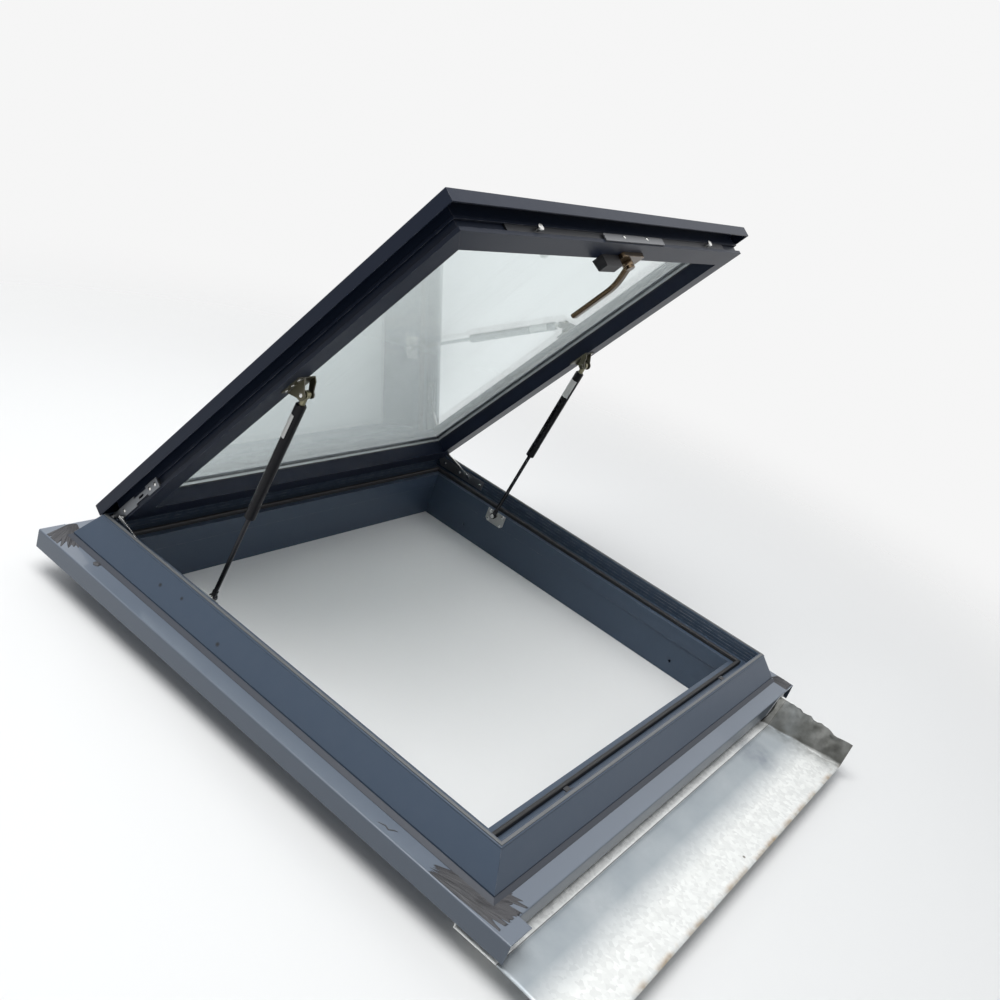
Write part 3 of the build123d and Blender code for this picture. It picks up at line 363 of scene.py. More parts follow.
def coordinates(tree: Tree) -> Socket:
    """Adds the object's own coordinates.

    Args:
        tree: the tree to add to.

    Returns:
        The coordinates.
    """
    return add(tree, "TexCoord").outputs["Object"]


def noise_in(
    tree: Tree, scale: Socket | float, detail: float, where: Socket | None = None
) -> Socket:
    """Adds a noise pattern.

    Args:
        tree: the tree to add to.
        scale: its scale per metre.
        detail: its octaves.
        where: its coordinates, or None for the place on the object.

    Returns:
        Its value.
    """
    inputs = {"Vector": where or coordinates(tree), "Scale": scale, "Detail": detail}
    return add(tree, "TexNoise", inputs).outputs["Fac"]


def patches(tree: Tree, patch: Patch) -> Socket:
    """Adds a patchy mask.

    Args:
        tree: the tree to add to.
        patch: its pattern.

    Returns:
        The mask.
    """
    return spread(tree, noise_in(tree, patch.scale, patch.detail), patch.low, patch.high)


class GroupMaker:
    """Builds the shader node groups that the materials share, each once."""

    bevel_samples = 4
    edge_turn = (0.995, 0.90)
    # Patches of rubbed edges, which on the bronze carry the painted highlight.
    rubbed_and_lit_patches = Patch(60.0, 4.0, 0.42, 0.62)
    lying_slope = (0.1, 1.0)
    # Patches of dust on up-facing faces, which on the flange carry the painted top light.
    settled_and_lit_patches = Patch(46.0, 8.0, 0.30, 0.85)
    grain_detail = 2.0
    mottle_scale = 3.0
    dents = (9.0, 4.0)
    run_stretch = (70.0, 2.5, 2.5)
    run_detail = 3.0
    run_limits = (0.52, 1.05)
    specks = Patch(520.0, 1.0, 0.70, 0.95)

    @staticmethod
    def _start(name: str, inputs: dict[str, float], outputs: list[str]) -> Tree:
        """Makes an empty group with float sockets.

        Args:
            name: the group's name.
            inputs: each input's name and default.
            outputs: the outputs' names.

        Returns:
            The group, with its input and output nodes.
        """
        tree = bpy.data.node_groups.new(name, "ShaderNodeTree")
        for label, default in inputs.items():
            socket = tree.interface.new_socket(label, in_out="INPUT", socket_type="NodeSocketFloat")
            socket.default_value = default
        for label in outputs:
            tree.interface.new_socket(label, in_out="OUTPUT", socket_type="NodeSocketFloat")
        tree.nodes.new("NodeGroupInput").name = "in"
        tree.nodes.new("NodeGroupOutput").name = "out"
        return tree

    @cached_property
    def edge_wear(self) -> Tree:
        """Group that softens sharp edges, in Normal, and marks rubbed edges, in Mask, which on the
        bronze is a painted highlight.
        """
        tree = self._start("edge_wear", {"Amount": 0.5, "Radius": 0.001}, ["Mask"])
        tree.interface.new_socket("Normal", in_out="OUTPUT", socket_type="NodeSocketVector")
        given = tree.nodes["in"].outputs
        bevel = add(tree, "Bevel", {"Radius": given["Radius"]}, samples=self.bevel_samples)
        soft = bevel.outputs["Normal"]
        flat = add(tree, "NewGeometry").outputs["Normal"]
        turned = add(tree, "VectorMath", {0: soft, 1: flat}, operation="DOT_PRODUCT")
        edge = spread(tree, turned.outputs["Value"], *self.edge_turn)
        worn_and_lit = combine(tree, "MULTIPLY", edge, patches(tree, self.rubbed_and_lit_patches))
        mask = combine(tree, "MULTIPLY", worn_and_lit, given["Amount"])
        fill(tree.nodes["out"], {"Mask": mask, "Normal": soft})
        return tree

    @cached_property
    def dust(self) -> Tree:
        """Group that marks faces that look up, in Mask: dust, and on the flange painted light on
        the lit tops.
        """
        tree = self._start("dust", {"Amount": 0.5, "Film": 0.0}, ["Mask"])
        given = tree.nodes["in"].outputs
        normal = add(tree, "NewGeometry").outputs["Normal"]
        height = add(tree, "SeparateXYZ", {"Vector": normal}).outputs["Z"]
        layer = combine(tree, "MAXIMUM", patches(tree, self.settled_and_lit_patches), given["Film"])
        lying = combine(tree, "MULTIPLY", spread(tree, height, *self.lying_slope), layer)
        fill(tree.nodes["out"], {"Mask": combine(tree, "MULTIPLY", lying, given["Amount"])})
        return tree

    @cached_property
    def grain(self) -> Tree:
        """Group with fine grain, in Height, and slow mottling, in Mottle."""
        tree = self._start("grain", {"Scale": 900.0}, ["Height", "Mottle"])
        fine = noise_in(tree, tree.nodes["in"].outputs["Scale"], self.grain_detail)
        slow = noise_in(tree, self.mottle_scale, self.grain_detail)
        fill(tree.nodes["out"], {"Height": fine, "Mottle": slow})
        return tree

    @cached_property
    def spangle(self) -> Tree:
        """Group with a galvanised sheet's crystals, in Cell, and its dents, in Height."""
        tree = self._start("spangle", {"Scale": 120.0}, ["Height", "Cell"])
        inputs = {"Vector": coordinates(tree), "Scale": tree.nodes["in"].outputs["Scale"]}
        cells = add(tree, "TexVoronoi", inputs).outputs["Color"]
        shade = add(tree, "SeparateColor", {"Color": cells}).outputs["Red"]
        fill(tree.nodes["out"], {"Height": noise_in(tree, *self.dents), "Cell": shade})
        return tree

    @cached_property
    def streaks(self) -> Tree:
        """Group with run marks down a pane and specks of dust, in Film."""
        tree = self._start("streaks", {"Scale": 1.0}, ["Film"])
        inputs = {0: coordinates(tree), 1: self.run_stretch}
        drawn = add(tree, "VectorMath", inputs, operation="MULTIPLY").outputs["Vector"]
        runs = noise_in(tree, tree.nodes["in"].outputs["Scale"], self.run_detail, drawn)
        marks = spread(tree, runs, *self.run_limits)
        film = combine(tree, "ADD", marks, patches(tree, self.specks))
        fill(tree.nodes["out"], {"Film": film})
        return tree


class MaterialMaker:
    """Builds one material for each finish."""

    glass_ior = 1.45
    dirt_shade = 0.88
    glass_gloss = (0.5, 5.0)
    body_gloss = (0.8, 1.25)
    grain_relief = 0.0004
    spangle_relief = 0.003
    spangle_scale = 150.0
    mark_detail = 5.0
    mark_full = 0.7
    spot_core = 0.35
    spot_grain = 1.6
    spot_full = 0.62

    def __init__(self) -> None:
        """Starts with the shared groups and no materials."""
        self.groups = GroupMaker()
        self.made: dict[str, bpy.types.Material] = {}

    def get(self, finish: Finish) -> bpy.types.Material:
        """Material of a finish, made once.

        Args:
            finish: the finish.

        Returns:
            Its material.
        """
        if finish.name not in self.made:
            material = bpy.data.materials.new(finish.name)
            material.use_nodes = True
            shader = material.node_tree.nodes["Principled BSDF"]
            levels = {
                "Roughness": finish.roughness,
                "Metallic": finish.metallic,
                "Coat Weight": finish.coat,
                "Specular IOR Level": finish.specular,
            }
            fill(shader, levels)
            if finish.surface is Surface.GLASS:
                self._glass(shader, finish)
            else:
                self._body(shader, finish)
            self.made[finish.name] = material
        return self.made[finish.name]

    def _glass(self, shader: Node, finish: Finish) -> None:
        """Sets a clear pane's shader, with faint run marks and a film of dust.

        Args:
            shader: the shader.
            finish: the pane's finish.
        """
        tree = shader.id_data
        film = self._group(tree, self.groups.streaks, Scale=1.0)["Film"]
        dirty = tuple(part * self.dirt_shade for part in finish.colour)
        inputs = {
            "Transmission Weight": 1.0,
            "IOR": self.glass_ior,
            "Base Color": self._mix(tree, film, finish.colour, dirty),
            "Roughness": self._gloss(tree, film, finish.roughness, self.glass_gloss),
        }
        fill(shader, inputs)

    @staticmethod
    def _gloss(tree: Tree, source: Socket, roughness: float, shares: Pair) -> Socket:
        """Varies a roughness over the surface.

        Args:
            tree: the material's tree.
            source: the value it follows, from 0 to 1.
            roughness: the finish's roughness.
            shares: what it is multiplied with at 0 and at 1.

        Returns:
            The varied roughness.
        """
        low, high = (roughness * share for share in shares)
        inputs = {"Value": source, "To Min": low, "To Max": high}
        return add(tree, "MapRange", inputs).outputs["Result"]

    @staticmethod
    def _group(tree: Tree, group: Tree, **values: float) -> bpy.types.bpy_prop_collection:
        """Places a shared group in a material.

        Args:
            tree: the material's tree.
            group: the group.
            values: its inputs.

        Returns:
            Its outputs.
        """
        return add(tree, "Group", values, node_tree=group).outputs

    @staticmethod
    def _mix(tree: Tree, factor: Socket, first: Socket | Colour, second: Socket | Colour) -> Socket:
        """Mixes two colours.

        Args:
            tree: the material's tree.
            factor: the mask.
            first: colour where the mask is 0.
            second: colour where the mask is 1.

        Returns:
            The mixed colour.
        """
        node = add(tree, "Mix", {0: factor}, data_type="RGBA")
        for number, colour in ((6, first), (7, second)):
            fill(node, {number: (*colour, 1.0) if isinstance(colour, tuple) else colour})
        return node.outputs[2]

    def _apron_marks(self, tree: Tree, colour: Socket) -> Socket:
        """Adds the apron's crease line of painted shade, a band of painted shadow and reflection
        down the slope from it, its rusty low edge, and grime with painted shadow at its turned-up
        end.

        Args:
            tree: the material's tree.
            colour: the sheet's colour.

        Returns:
            The marked colour.
        """
        split = add(tree, "SeparateXYZ", {"Vector": coordinates(tree)}).outputs
        inputs = {0: split["Y"], 1: APRON_SKEW, 2: split["X"]}
        skew = add(tree, "Math", inputs, operation="MULTIPLY_ADD").outputs["Value"]
        across = {"Y": split["Y"], "Skew": skew}
        for mark in APRON_MARKS:
            low = spread(tree, across[mark.axis], mark.start, mark.full)
            high = spread(tree, across[mark.axis], mark.end, mark.fade)
            band = combine(tree, "MULTIPLY", low, high)
            pattern = Patch(mark.scale, self.mark_detail, mark.clear, self.mark_full)
            mask = combine(tree, "MULTIPLY", band, patches(tree, pattern))
            colour = self._mix(tree, mask, colour, mark.colour)
        return self._spots(tree, colour, APRON_SPOTS)

    def _spots(self, tree: Tree, colour: Socket, spots: tuple[Spot, ...]) -> Socket:
        """Adds round marks with ragged edges.

        Args:
            tree: the material's tree.
            colour: the colour under them.
            spots: the marks.

        Returns:
            The marked colour.
        """
        where = coordinates(tree)
        for spot in spots:
            away = add(tree, "VectorMath", {0: where, 1: spot.place}, operation="DISTANCE")
            core = spot.radius * self.spot_core
            near = spread(tree, away.outputs["Value"], spot.radius, core)
            scale = self.spot_grain / spot.radius
            pattern = Patch(scale, self.mark_detail, spot.clear, self.spot_full)
            mask = combine(tree, "MULTIPLY", near, patches(tree, pattern))
            colour = self._mix(tree, mask, colour, spot.colour)
        return colour

    def _body(self, shader: Node, finish: Finish) -> None:
        """Gives a solid finish its colour, gloss and relief.

        Args:
            shader: the shader.
            finish: the finish.
        """
        tree = shader.id_data
        light = tuple(min(1.0, part * (1.0 + finish.mottle)) for part in finish.colour)
        dark = tuple(part * (1.0 - finish.mottle) for part in finish.colour)
        if finish.surface is Surface.SPANGLE:
            pattern = self._group(tree, self.groups.spangle, Scale=self.spangle_scale)
            gloss, relief = pattern["Cell"], self.spangle_relief
            colour = self._apron_marks(tree, self._mix(tree, gloss, dark, light))
        else:
            pattern = self._group(tree, self.groups.grain, Scale=finish.grain_scale)
            gloss, relief = pattern["Mottle"], self.grain_relief
            colour = self._mix(tree, gloss, dark, light)
        wear_and_highlight = self._group(tree, self.groups.edge_wear, Amount=finish.wear_and_highlight, Radius=finish.edge)
        # On the bronze this mix is a painted highlight along the edges; on the other finishes it is
        # wear.
        if finish.wear_and_highlight > 0:
            colour = self._mix(tree, wear_and_highlight["Mask"], colour, finish.wear_and_highlight_colour)
        if finish is Finishes.frame_coat:
            colour = self._spots(tree, colour, COAT_SPOTS)
        # On the flange this mix paints light on the lit tops; on the other finishes it is dust.
        if finish.dust > 0:
            dust = self._group(tree, self.groups.dust, Amount=finish.dust, Film=finish.film)
            colour = self._mix(tree, dust["Mask"], colour, finish.dust_and_top_light_colour)
        inputs = {
            "Strength": finish.grain_depth,
            "Distance": relief,
            "Height": pattern["Height"],
            "Normal": wear_and_highlight["Normal"],
        }
        bump = add(tree, "Bump", inputs).outputs["Normal"]
        rough = self._gloss(tree, gloss, finish.roughness, self.body_gloss)
        fill(shader, {"Base Color": colour, "Roughness": rough, "Normal": bump})


# Faces that meet at more than this many radians show a sharp edge.
SHARP_ANGLE = 0.6


def link(name: str, data: bpy.types.ID) -> bpy.types.Object:
    """Puts a mesh, lamp or camera in the scene.

    Args:
        name: the object's name.
        data: the mesh, lamp or camera.

    Returns:
        The new object.
    """
    thing = bpy.data.objects.new(name, data)
    bpy.context.scene.collection.objects.link(thing)
    return thing


def once(parts: Iterable) -> list:
    """Each part of a mesh once, in the order met.

    Args:
        parts: vertices, edges or faces.

    Returns:
        The parts.
    """
    return list(dict.fromkeys(parts))


def kept(parts: dict[str, list], kind: type) -> list:
    """One kind of part among what an operator gives back.

    Args:
        parts: the operator's result.
        kind: the kind.

    Returns:
        The parts of that kind.
    """
    return [part for part in parts["geom"] if isinstance(part, kind)]


def tube(shape: Shape, turns: list[Matrix], radii: list[float], sides: int) -> list[list[Vert]]:
    """Builds a closed tube through rings.

    Args:
        shape: the mesh to add to.
        turns: each ring's place and turn, with its axis along the tube.
        radii: each ring's radius.
        sides: how many sides the tube has.

    Returns:
        The rings' vertices.
    """
    rings = []
    loops = []
    for turn, radius in zip(turns, radii):
        ring = bmesh.ops.create_circle(shape, segments=sides, radius=radius, matrix=turn)["verts"]
        rings.append(ring)
        loops.append(once(edge for vert in ring for edge in vert.link_edges))
    for first, second in zip(loops, loops[1:]):
        bmesh.ops.bridge_loops(shape, edges=first + second)
    bmesh.ops.holes_fill(shape, edges=loops[0] + loops[-1], sides=sides)
    return rings


@dataclass
class Dress:
    """New pieces, finished with the shared materials."""

    makers: MaterialMaker

    def piece(
        self, shape: Shape, name: str, body: Body, slot: str, finish: Finish
    ) -> bpy.types.Object:
        """Turns a shape into a piece that rides on a body.

        Args:
            shape: the mesh, in place.
            name: the piece's name.
            body: the body it rides on.
            slot: the material slot of the record; not used.
            finish: its finish.

        Returns:
            The new object.
        """
        bmesh.ops.recalc_face_normals(shape, faces=shape.faces)
        mesh = bpy.data.meshes.new(name)
        shape.to_mesh(mesh)
        shape.free()
        for polygon in mesh.polygons:
            polygon.use_smooth = True
        mesh.set_sharp_from_angle(angle=SHARP_ANGLE)
        mesh.materials.append(self.makers.get(finish))
        piece = link(name, mesh)
        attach(piece, body.value)
        LOG.info("%s: %d faces on %s", name, len(mesh.polygons), body.value)
        return piece


@dataclass
class StrutDress(Dress):
    """Bare labels on the gas struts' tubes, and the domed ends of their head pins."""

    foot: Pair = (0.305, 0.100)
    head: Pair = (0.222658, 0.521961)
    side: float = 0.4115
    label_middle: float = 0.370
    label_length: float = 0.044
    label_radius: float = 0.0093
    label_sheet: float = 0.00015
    label_turn: float = 1.75
    label_steps: tuple[int, int] = (28, 4)
    cap_divisions: int = 4
    cap_radius: float = 0.0039
    caps: tuple[Pair, ...] = ((0.4005, 0.0016), (0.4230, 0.0010))
    facing: tuple[Point, ...] = ((-0.85, 0.50, 0.25), (-0.90, -0.15, 0.35))

    def build(self) -> None:
        """Builds each strut's label and pin ends."""
        run = Vector((0.0, self.head[0] - self.foot[0], self.head[1] - self.foot[1])).normalized()
        places = (("left", -1, Body.CYLINDER_LEFT), ("right", 1, Body.CYLINDER_RIGHT))
        for (name, hand, body), facing in zip(places, self.facing):
            out = Vector(facing)
            out = (out - run * out.dot(run)).normalized()
            side = run.cross(out)
            middle = Vector((hand * self.side, *self.foot)) + run * self.label_middle
            shape = bmesh.new()
            across, down = self.label_steps
            bmesh.ops.create_grid(shape, x_segments=across, y_segments=down, size=0.5)
            for vert in shape.verts:
                turn = vert.co.x * self.label_turn
                along = vert.co.y * self.label_length
                away = out * cos(turn) + side * sin(turn)
                vert.co = middle + run * along + away * self.label_radius
            shape.normal_update()
            bmesh.ops.solidify(shape, geom=shape.faces[:], thickness=self.label_sheet)
            self.piece(shape, f"strut_label_{name}", body, "black_steel", Finishes.label)
            self._caps(name, hand)

    def _caps(self, name: str, hand: int) -> None:
        """Builds the domed ends of one head pin, seated on the bracket's ears.

        Args:
            name: the strut's name.
            hand: its side, -1 or 1.
        """
        shape = bmesh.new()
        for side, height in self.caps:
            dome = bmesh.ops.create_icosphere(shape, subdivisions=self.cap_divisions, radius=1.0)
            size = (height, self.cap_radius, self.cap_radius)
            bmesh.ops.scale(shape, vec=size, verts=dome["verts"])
            bmesh.ops.translate(shape, vec=(hand * side, *self.head), verts=dome["verts"])
        finish = Finishes.bright_zinc
        self.piece(shape, f"strut_caps_{name}", Body.SASH, "bright_zinc", finish)


@dataclass
class HandleDress(Dress):
    """Fine ribs around the lever's hub."""

    pivot: Point = (0.04, 0.02944, 0.824927)
    axis: Point = (0.0, -0.819152, -0.573576)
    start: float = 0.0052
    end: float = 0.0112
    radius: float = 0.00905
    rib: float = 0.00035
    ribs: int = 30
    steps: int = 6
    profile: tuple[Pair, ...] = ((0.0, 0.0), (0.12, 1.0), (0.88, 1.0), (1.0, 0.0))

    def build(self) -> None:
        """Builds the ribbed ring."""
        shape = bmesh.new()
        out = Vector(self.axis).normalized()
        across = out.orthogonal().normalized()
        along = out.cross(across)
        facing = Matrix((-along, across, out)).transposed().to_4x4()
        middles = [
            Vector(self.pivot) + out * (self.start + (self.end - self.start) * share)
            for share, _ in self.profile
        ]
        turns = [Matrix.Translation(middle) @ facing for middle in middles]
        rings = tube(shape, turns, [self.radius] * len(turns), self.ribs * self.steps)
        for (_, lift), middle, ring in zip(self.profile, middles, rings):
            for vert in ring:
                away = (vert.co - middle).normalized()
                turn = atan2(away.dot(along), away.dot(across))
                vert.co += away * max(0.0, cos(self.ribs * turn)) * self.rib * lift
        self.piece(shape, "hub_ribs", Body.HANDLE, "bronze", Finishes.bronze)


@dataclass(frozen=True)
class Ragged:
    """Unevenness across a fan's strokes: its size, how fine it is, and what sets its pattern."""

    rise: float
    fine: float
    row: float
    seed: float

    def at(self, across: float, reach: float) -> float:
        """Unevenness at one place.

        Args:
            across: the place across the strokes.
            reach: a length of the fan, so that each fan differs.

        Returns:
            A value around 0.
        """
        return self.rise * noise.noise(Vector((across * self.fine, self.row, reach * self.seed)))


@dataclass(frozen=True)
class Smear:
    """A fan of brushed sealant.

    Start is where its strokes would meet, heading and spread are in radians, and near and
    far are how far from the start the strokes begin and end.
    """

    name: str
    start: Pair
    heading: float
    spread: float
    near: float
    far: float


@dataclass
class SealantDress(Dress):
    """Brushed sealant on the flanges' corners, with lumps and a thread of it.

    Foot is the edge of the frame's foot and edge that of the flanges: each a greatest X and
    the least and greatest Y.
    """

    flange_top: float = 0.084
    thickness: float = 0.0006
    ridge: float = 0.0009
    least: float = 0.00005
    groove: float = -0.5
    taper: float = 0.1
    end_taper: float = 6.0
    side_taper: float = 9.0
    turns: int = 150
    rows: int = 60
    far_share: float = 0.88
    far_ragged: Ragged = Ragged(0.26, 15.0, 5.0, 90.0)
    near_share: float = 1.1
    near_ragged: Ragged = Ragged(0.4, 11.0, 9.0, 90.0)
    stroke_scale: Point = (64.0, 2.2, 70.0)
    foot: Point = (0.5085, -0.4125, 0.5795)
    edge: Point = (0.5400, -0.4440, 0.6105)
    smears: tuple[Smear, ...] = (
        Smear("sill_left", (-0.545, -0.275), -1.30, 0.44, 0.045, 0.185),
        Smear("sill_left_low", (-0.532, -0.385), -0.72, 1.10, 0.004, 0.072),
        Smear("head_left", (-0.470, 0.618), -2.35, 0.95, 0.010, 0.098),
        Smear("sill_right", (0.505, -0.400), -0.90, 1.30, 0.012, 0.066),
    )
    lumps: tuple[Point, ...] = ((-0.5150, 0.483, 0.0065), (0.5300, -0.4330, 0.0060))
    lump_uneven: Pair = (0.30, 260.0)
    lump_height: float = 0.35
    lump_divisions: int = 4
    thread: tuple[Pair, ...] = (
        (-0.5330, -0.217), (-0.5290, -0.228), (-0.5310, -0.236), (-0.5250, -0.242),
        (-0.5225, -0.247),
    )
    thread_radius: float = 0.0012
    thread_tip: float = 0.35
    thread_sides: int = 12

    def build(self) -> None:
        """Builds each smear, the lumps and the thread."""
        for smear in self.smears:
            self._seal(self._fan(smear), f"smear_{smear.name}")
        for number, (x, y, radius) in enumerate(self.lumps):
            shape = bmesh.new()
            bmesh.ops.create_icosphere(shape, subdivisions=self.lump_divisions, radius=radius)
            uneven, scale = self.lump_uneven
            for vert in shape.verts:
                vert.co *= 1.0 + uneven * noise.noise(vert.co * scale)
                vert.co.z *= self.lump_height
            bmesh.ops.translate(shape, vec=(x, y, self.flange_top), verts=shape.verts)
            self._seal(shape, f"lump_{number}")
        self._seal(self._thread(), "thread")

    def _seal(self, shape: Shape, name: str) -> None:
        """Makes a piece of sealant.

        Args:
            shape: its mesh.
            name: what kind it is.
        """
        self.piece(shape, f"sealant_{name}", Body.FRAME, "sealant", Finishes.sealant)

    def _fan(self, smear: Smear) -> Shape:
        """Builds one fan of brush strokes with ragged ends.

        Args:
            smear: the fan.

        Returns:
            Its mesh.
        """
        shape = bmesh.new()
        bmesh.ops.create_grid(shape, x_segments=self.turns, y_segments=self.rows, size=0.5)
        for vert in shape.verts:
            across, share = vert.co.x, vert.co.y + 0.5
            turn = smear.heading + across * smear.spread
            reach = smear.far * (self.far_share + self.far_ragged.at(across, smear.far))
            back = smear.near * (self.near_share + self.near_ragged.at(across, smear.near))
            away = back + (reach - smear.near) * share
            fine, long, seed = self.stroke_scale
            stroke = noise.noise(Vector((across * fine, share * long, smear.far * seed)))
            ends = self.end_taper * share * (1.0 - share) + self.taper
            sides = self.side_taper * (0.5 - abs(across)) + self.taper
            height = self.thickness + self.ridge * max(self.groove, stroke)
            vert.co.x = smear.start[0] + away * cos(turn)
            vert.co.y = smear.start[1] + away * sin(turn)
            vert.co.z = self.flange_top + max(self.least, height * min(1.0, ends, sides))
        off = [face for face in shape.faces if self._off(face.calc_center_median())]
        while off:
            bmesh.ops.delete(shape, geom=off, context="FACES")
            off = self._pinched(shape)
        for vert in kept(bmesh.ops.extrude_face_region(shape, geom=shape.faces[:]), Vert):
            vert.co.z = self.flange_top
        return shape

    @staticmethod
    def _pinched(shape: Shape) -> list[Face]:
        """Finds faces that touch the rest of a sheet only at a corner.

        Args:
            shape: the sheet.

        Returns:
            One face for each such corner.
        """
        corners = (
            vert for vert in shape.verts if sum(edge.is_boundary for edge in vert.link_edges) > 2
        )
        return once(vert.link_faces[0] for vert in corners)

    def _off(self, place: Vector) -> bool:
        """Whether a place is off the flanges' flat tops.

        Args:
            place: the place.

        Returns:
            True under the frame's foot or past the flanges' edges.
        """
        side, low, high = self.foot
        inside = abs(place.x) < side and low < place.y < high
        side, low, high = self.edge
        return inside or abs(place.x) > side or not low < place.y < high

    def _thread(self) -> Shape:
        """Builds the thin thread of sealant lying on the flange.

        Returns:
            Its mesh.
        """
        shape = bmesh.new()
        last = len(self.thread) - 1
        turns = []
        radii = []
        for number, (x, y) in enumerate(self.thread):
            before = self.thread[max(0, number - 1)]
            after = self.thread[min(last, number + 1)]
            run = Vector((after[0] - before[0], after[1] - before[1], 0.0))
            place = Matrix.Translation((x, y, self.flange_top))
            turns.append(place @ run.to_track_quat("Z", "Y").to_matrix().to_4x4())
            radii.append(self.thread_radius * (self.thread_tip if number in (0, last) else 1.0))
        tube(shape, turns, radii, self.thread_sides)
        return shape


@dataclass
class ScrewDress(Dress):
    """Pan-head screws with cross recesses."""

    nodes: tuple[tuple[str, Body], ...] = (
        ("hinge_frame_screws", Body.FRAME),
        ("hinge_sash_screws", Body.SASH),
        ("strut_foot_screws", Body.FRAME),
        ("strut_head_screws", Body.SASH),
        ("keeper_screws", Body.FRAME),
        ("lock_cover_screws", Body.SASH),
    )
    slot: str = "bright_zinc"
    arm_share: float = 0.62
    slot_share: float = 0.20
    depth: float = 0.0009
    same_turn: float = 50.0
    same_level: float = 20000.0
    end_slack: float = 1e-5
    weld: float = 1e-6
    cut_slack: float = 1e-7

    def build(self, frame: dict) -> None:
        """Builds each group of screws from the construction's own form.

        Args:
            frame: the loaded frame.
        """
        for name, body in self.nodes:
            node = frame["nodes"][name]
            shape = bmesh.new()
            shape.from_mesh(node.data)
            shape.transform(node.matrix_world)
            bmesh.ops.remove_doubles(shape, verts=shape.verts, dist=self.weld)
            shape.normal_update()
            for island in self._islands(shape):
                self._recess(shape, island)
            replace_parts(self.piece(shape, f"{name}_cut", body, self.slot, finish_of(name)), name)

    @staticmethod
    def _islands(shape: Shape) -> list[list[Face]]:
        """Splits the faces into connected groups.

        Args:
            shape: the mesh.

        Returns:
            The groups, one for each screw.
        """
        seen = set()
        islands = []
        for start in shape.faces:
            group = []
            queue = [start]
            while queue:
                face = queue.pop()
                if face not in seen:
                    seen.add(face)
                    group.append(face)
                    queue.extend(other for edge in face.edges for other in edge.link_faces)
            if group:
                islands.append(group)
        return islands

    def _recess(self, shape: Shape, island: list[Face]) -> None:
        """Sinks a cross into the flat top of one screw's head.

        Args:
            shape: the mesh.
            island: the screw's faces.
        """
        flats: dict[tuple[int, ...], list[Face]] = {}
        for face in island:
            normal = face.normal
            level = face.calc_center_median().dot(normal)
            turn = (round(part * self.same_turn) for part in normal)
            key = (*turn, round(level * self.same_level))
            flats.setdefault(key, []).append(face)
        verts = once(vert for face in island for vert in face.verts)
        tops = []
        for faces in flats.values():
            normal = faces[0].normal.copy()
            level = faces[0].calc_center_median().dot(normal)
            beyond = max(vert.co.dot(normal) for vert in verts) - level
            if beyond < self.end_slack:
                tops.append((self._width(verts, normal, level), faces, normal))
        _, top, out = max(tops, key=lambda entry: entry[0])
        corners = once(vert for face in top for vert in face.verts)
        middle = sum((vert.co for vert in corners), Vector()) / len(corners)
        radius = max((vert.co - middle).length for vert in corners)
        across = out.orthogonal().normalized()
        along = out.cross(across)
        slot = radius * self.slot_share
        arm = radius * self.arm_share
        faces = list(top)
        for axis in (across, along):
            for offset in (-arm, -slot, slot, arm):
                parts = once(part for face in faces for part in (*face.verts, *face.edges, face))
                place = middle + axis * offset
                cut = bmesh.ops.bisect_plane(
                    shape, geom=parts, plane_co=place, plane_no=axis, dist=self.cut_slack
                )
                faces = kept(cut, Face)
        cross = []
        for face in faces:
            place = face.calc_center_median() - middle
            x, y = abs(place.dot(across)), abs(place.dot(along))
            if (x < slot and y < arm) or (y < slot and x < arm):
                cross.append(face)
        sunk = bmesh.ops.extrude_face_region(shape, geom=cross)
        bmesh.ops.delete(shape, geom=cross, context="FACES")
        for vert in kept(sunk, Vert):
            vert.co -= out * self.depth

    @staticmethod
    def _width(verts: list[Vert], out: Vector, level: float) -> float:
        """Greatest width of a screw in the half below one of its flat ends.

        Args:
            verts: the screw's vertices.
            out: the way that end faces.
            level: how far along it the end lies.

        Returns:
            The greatest distance from the middle.
        """
        low = min(vert.co.dot(out) for vert in verts)
        near = [vert.co for vert in verts if vert.co.dot(out) > (level + low) / 2]
        middle = sum(near, Vector()) / len(near)
        return max((place - middle - out * (place - middle).dot(out)).length for place in near)


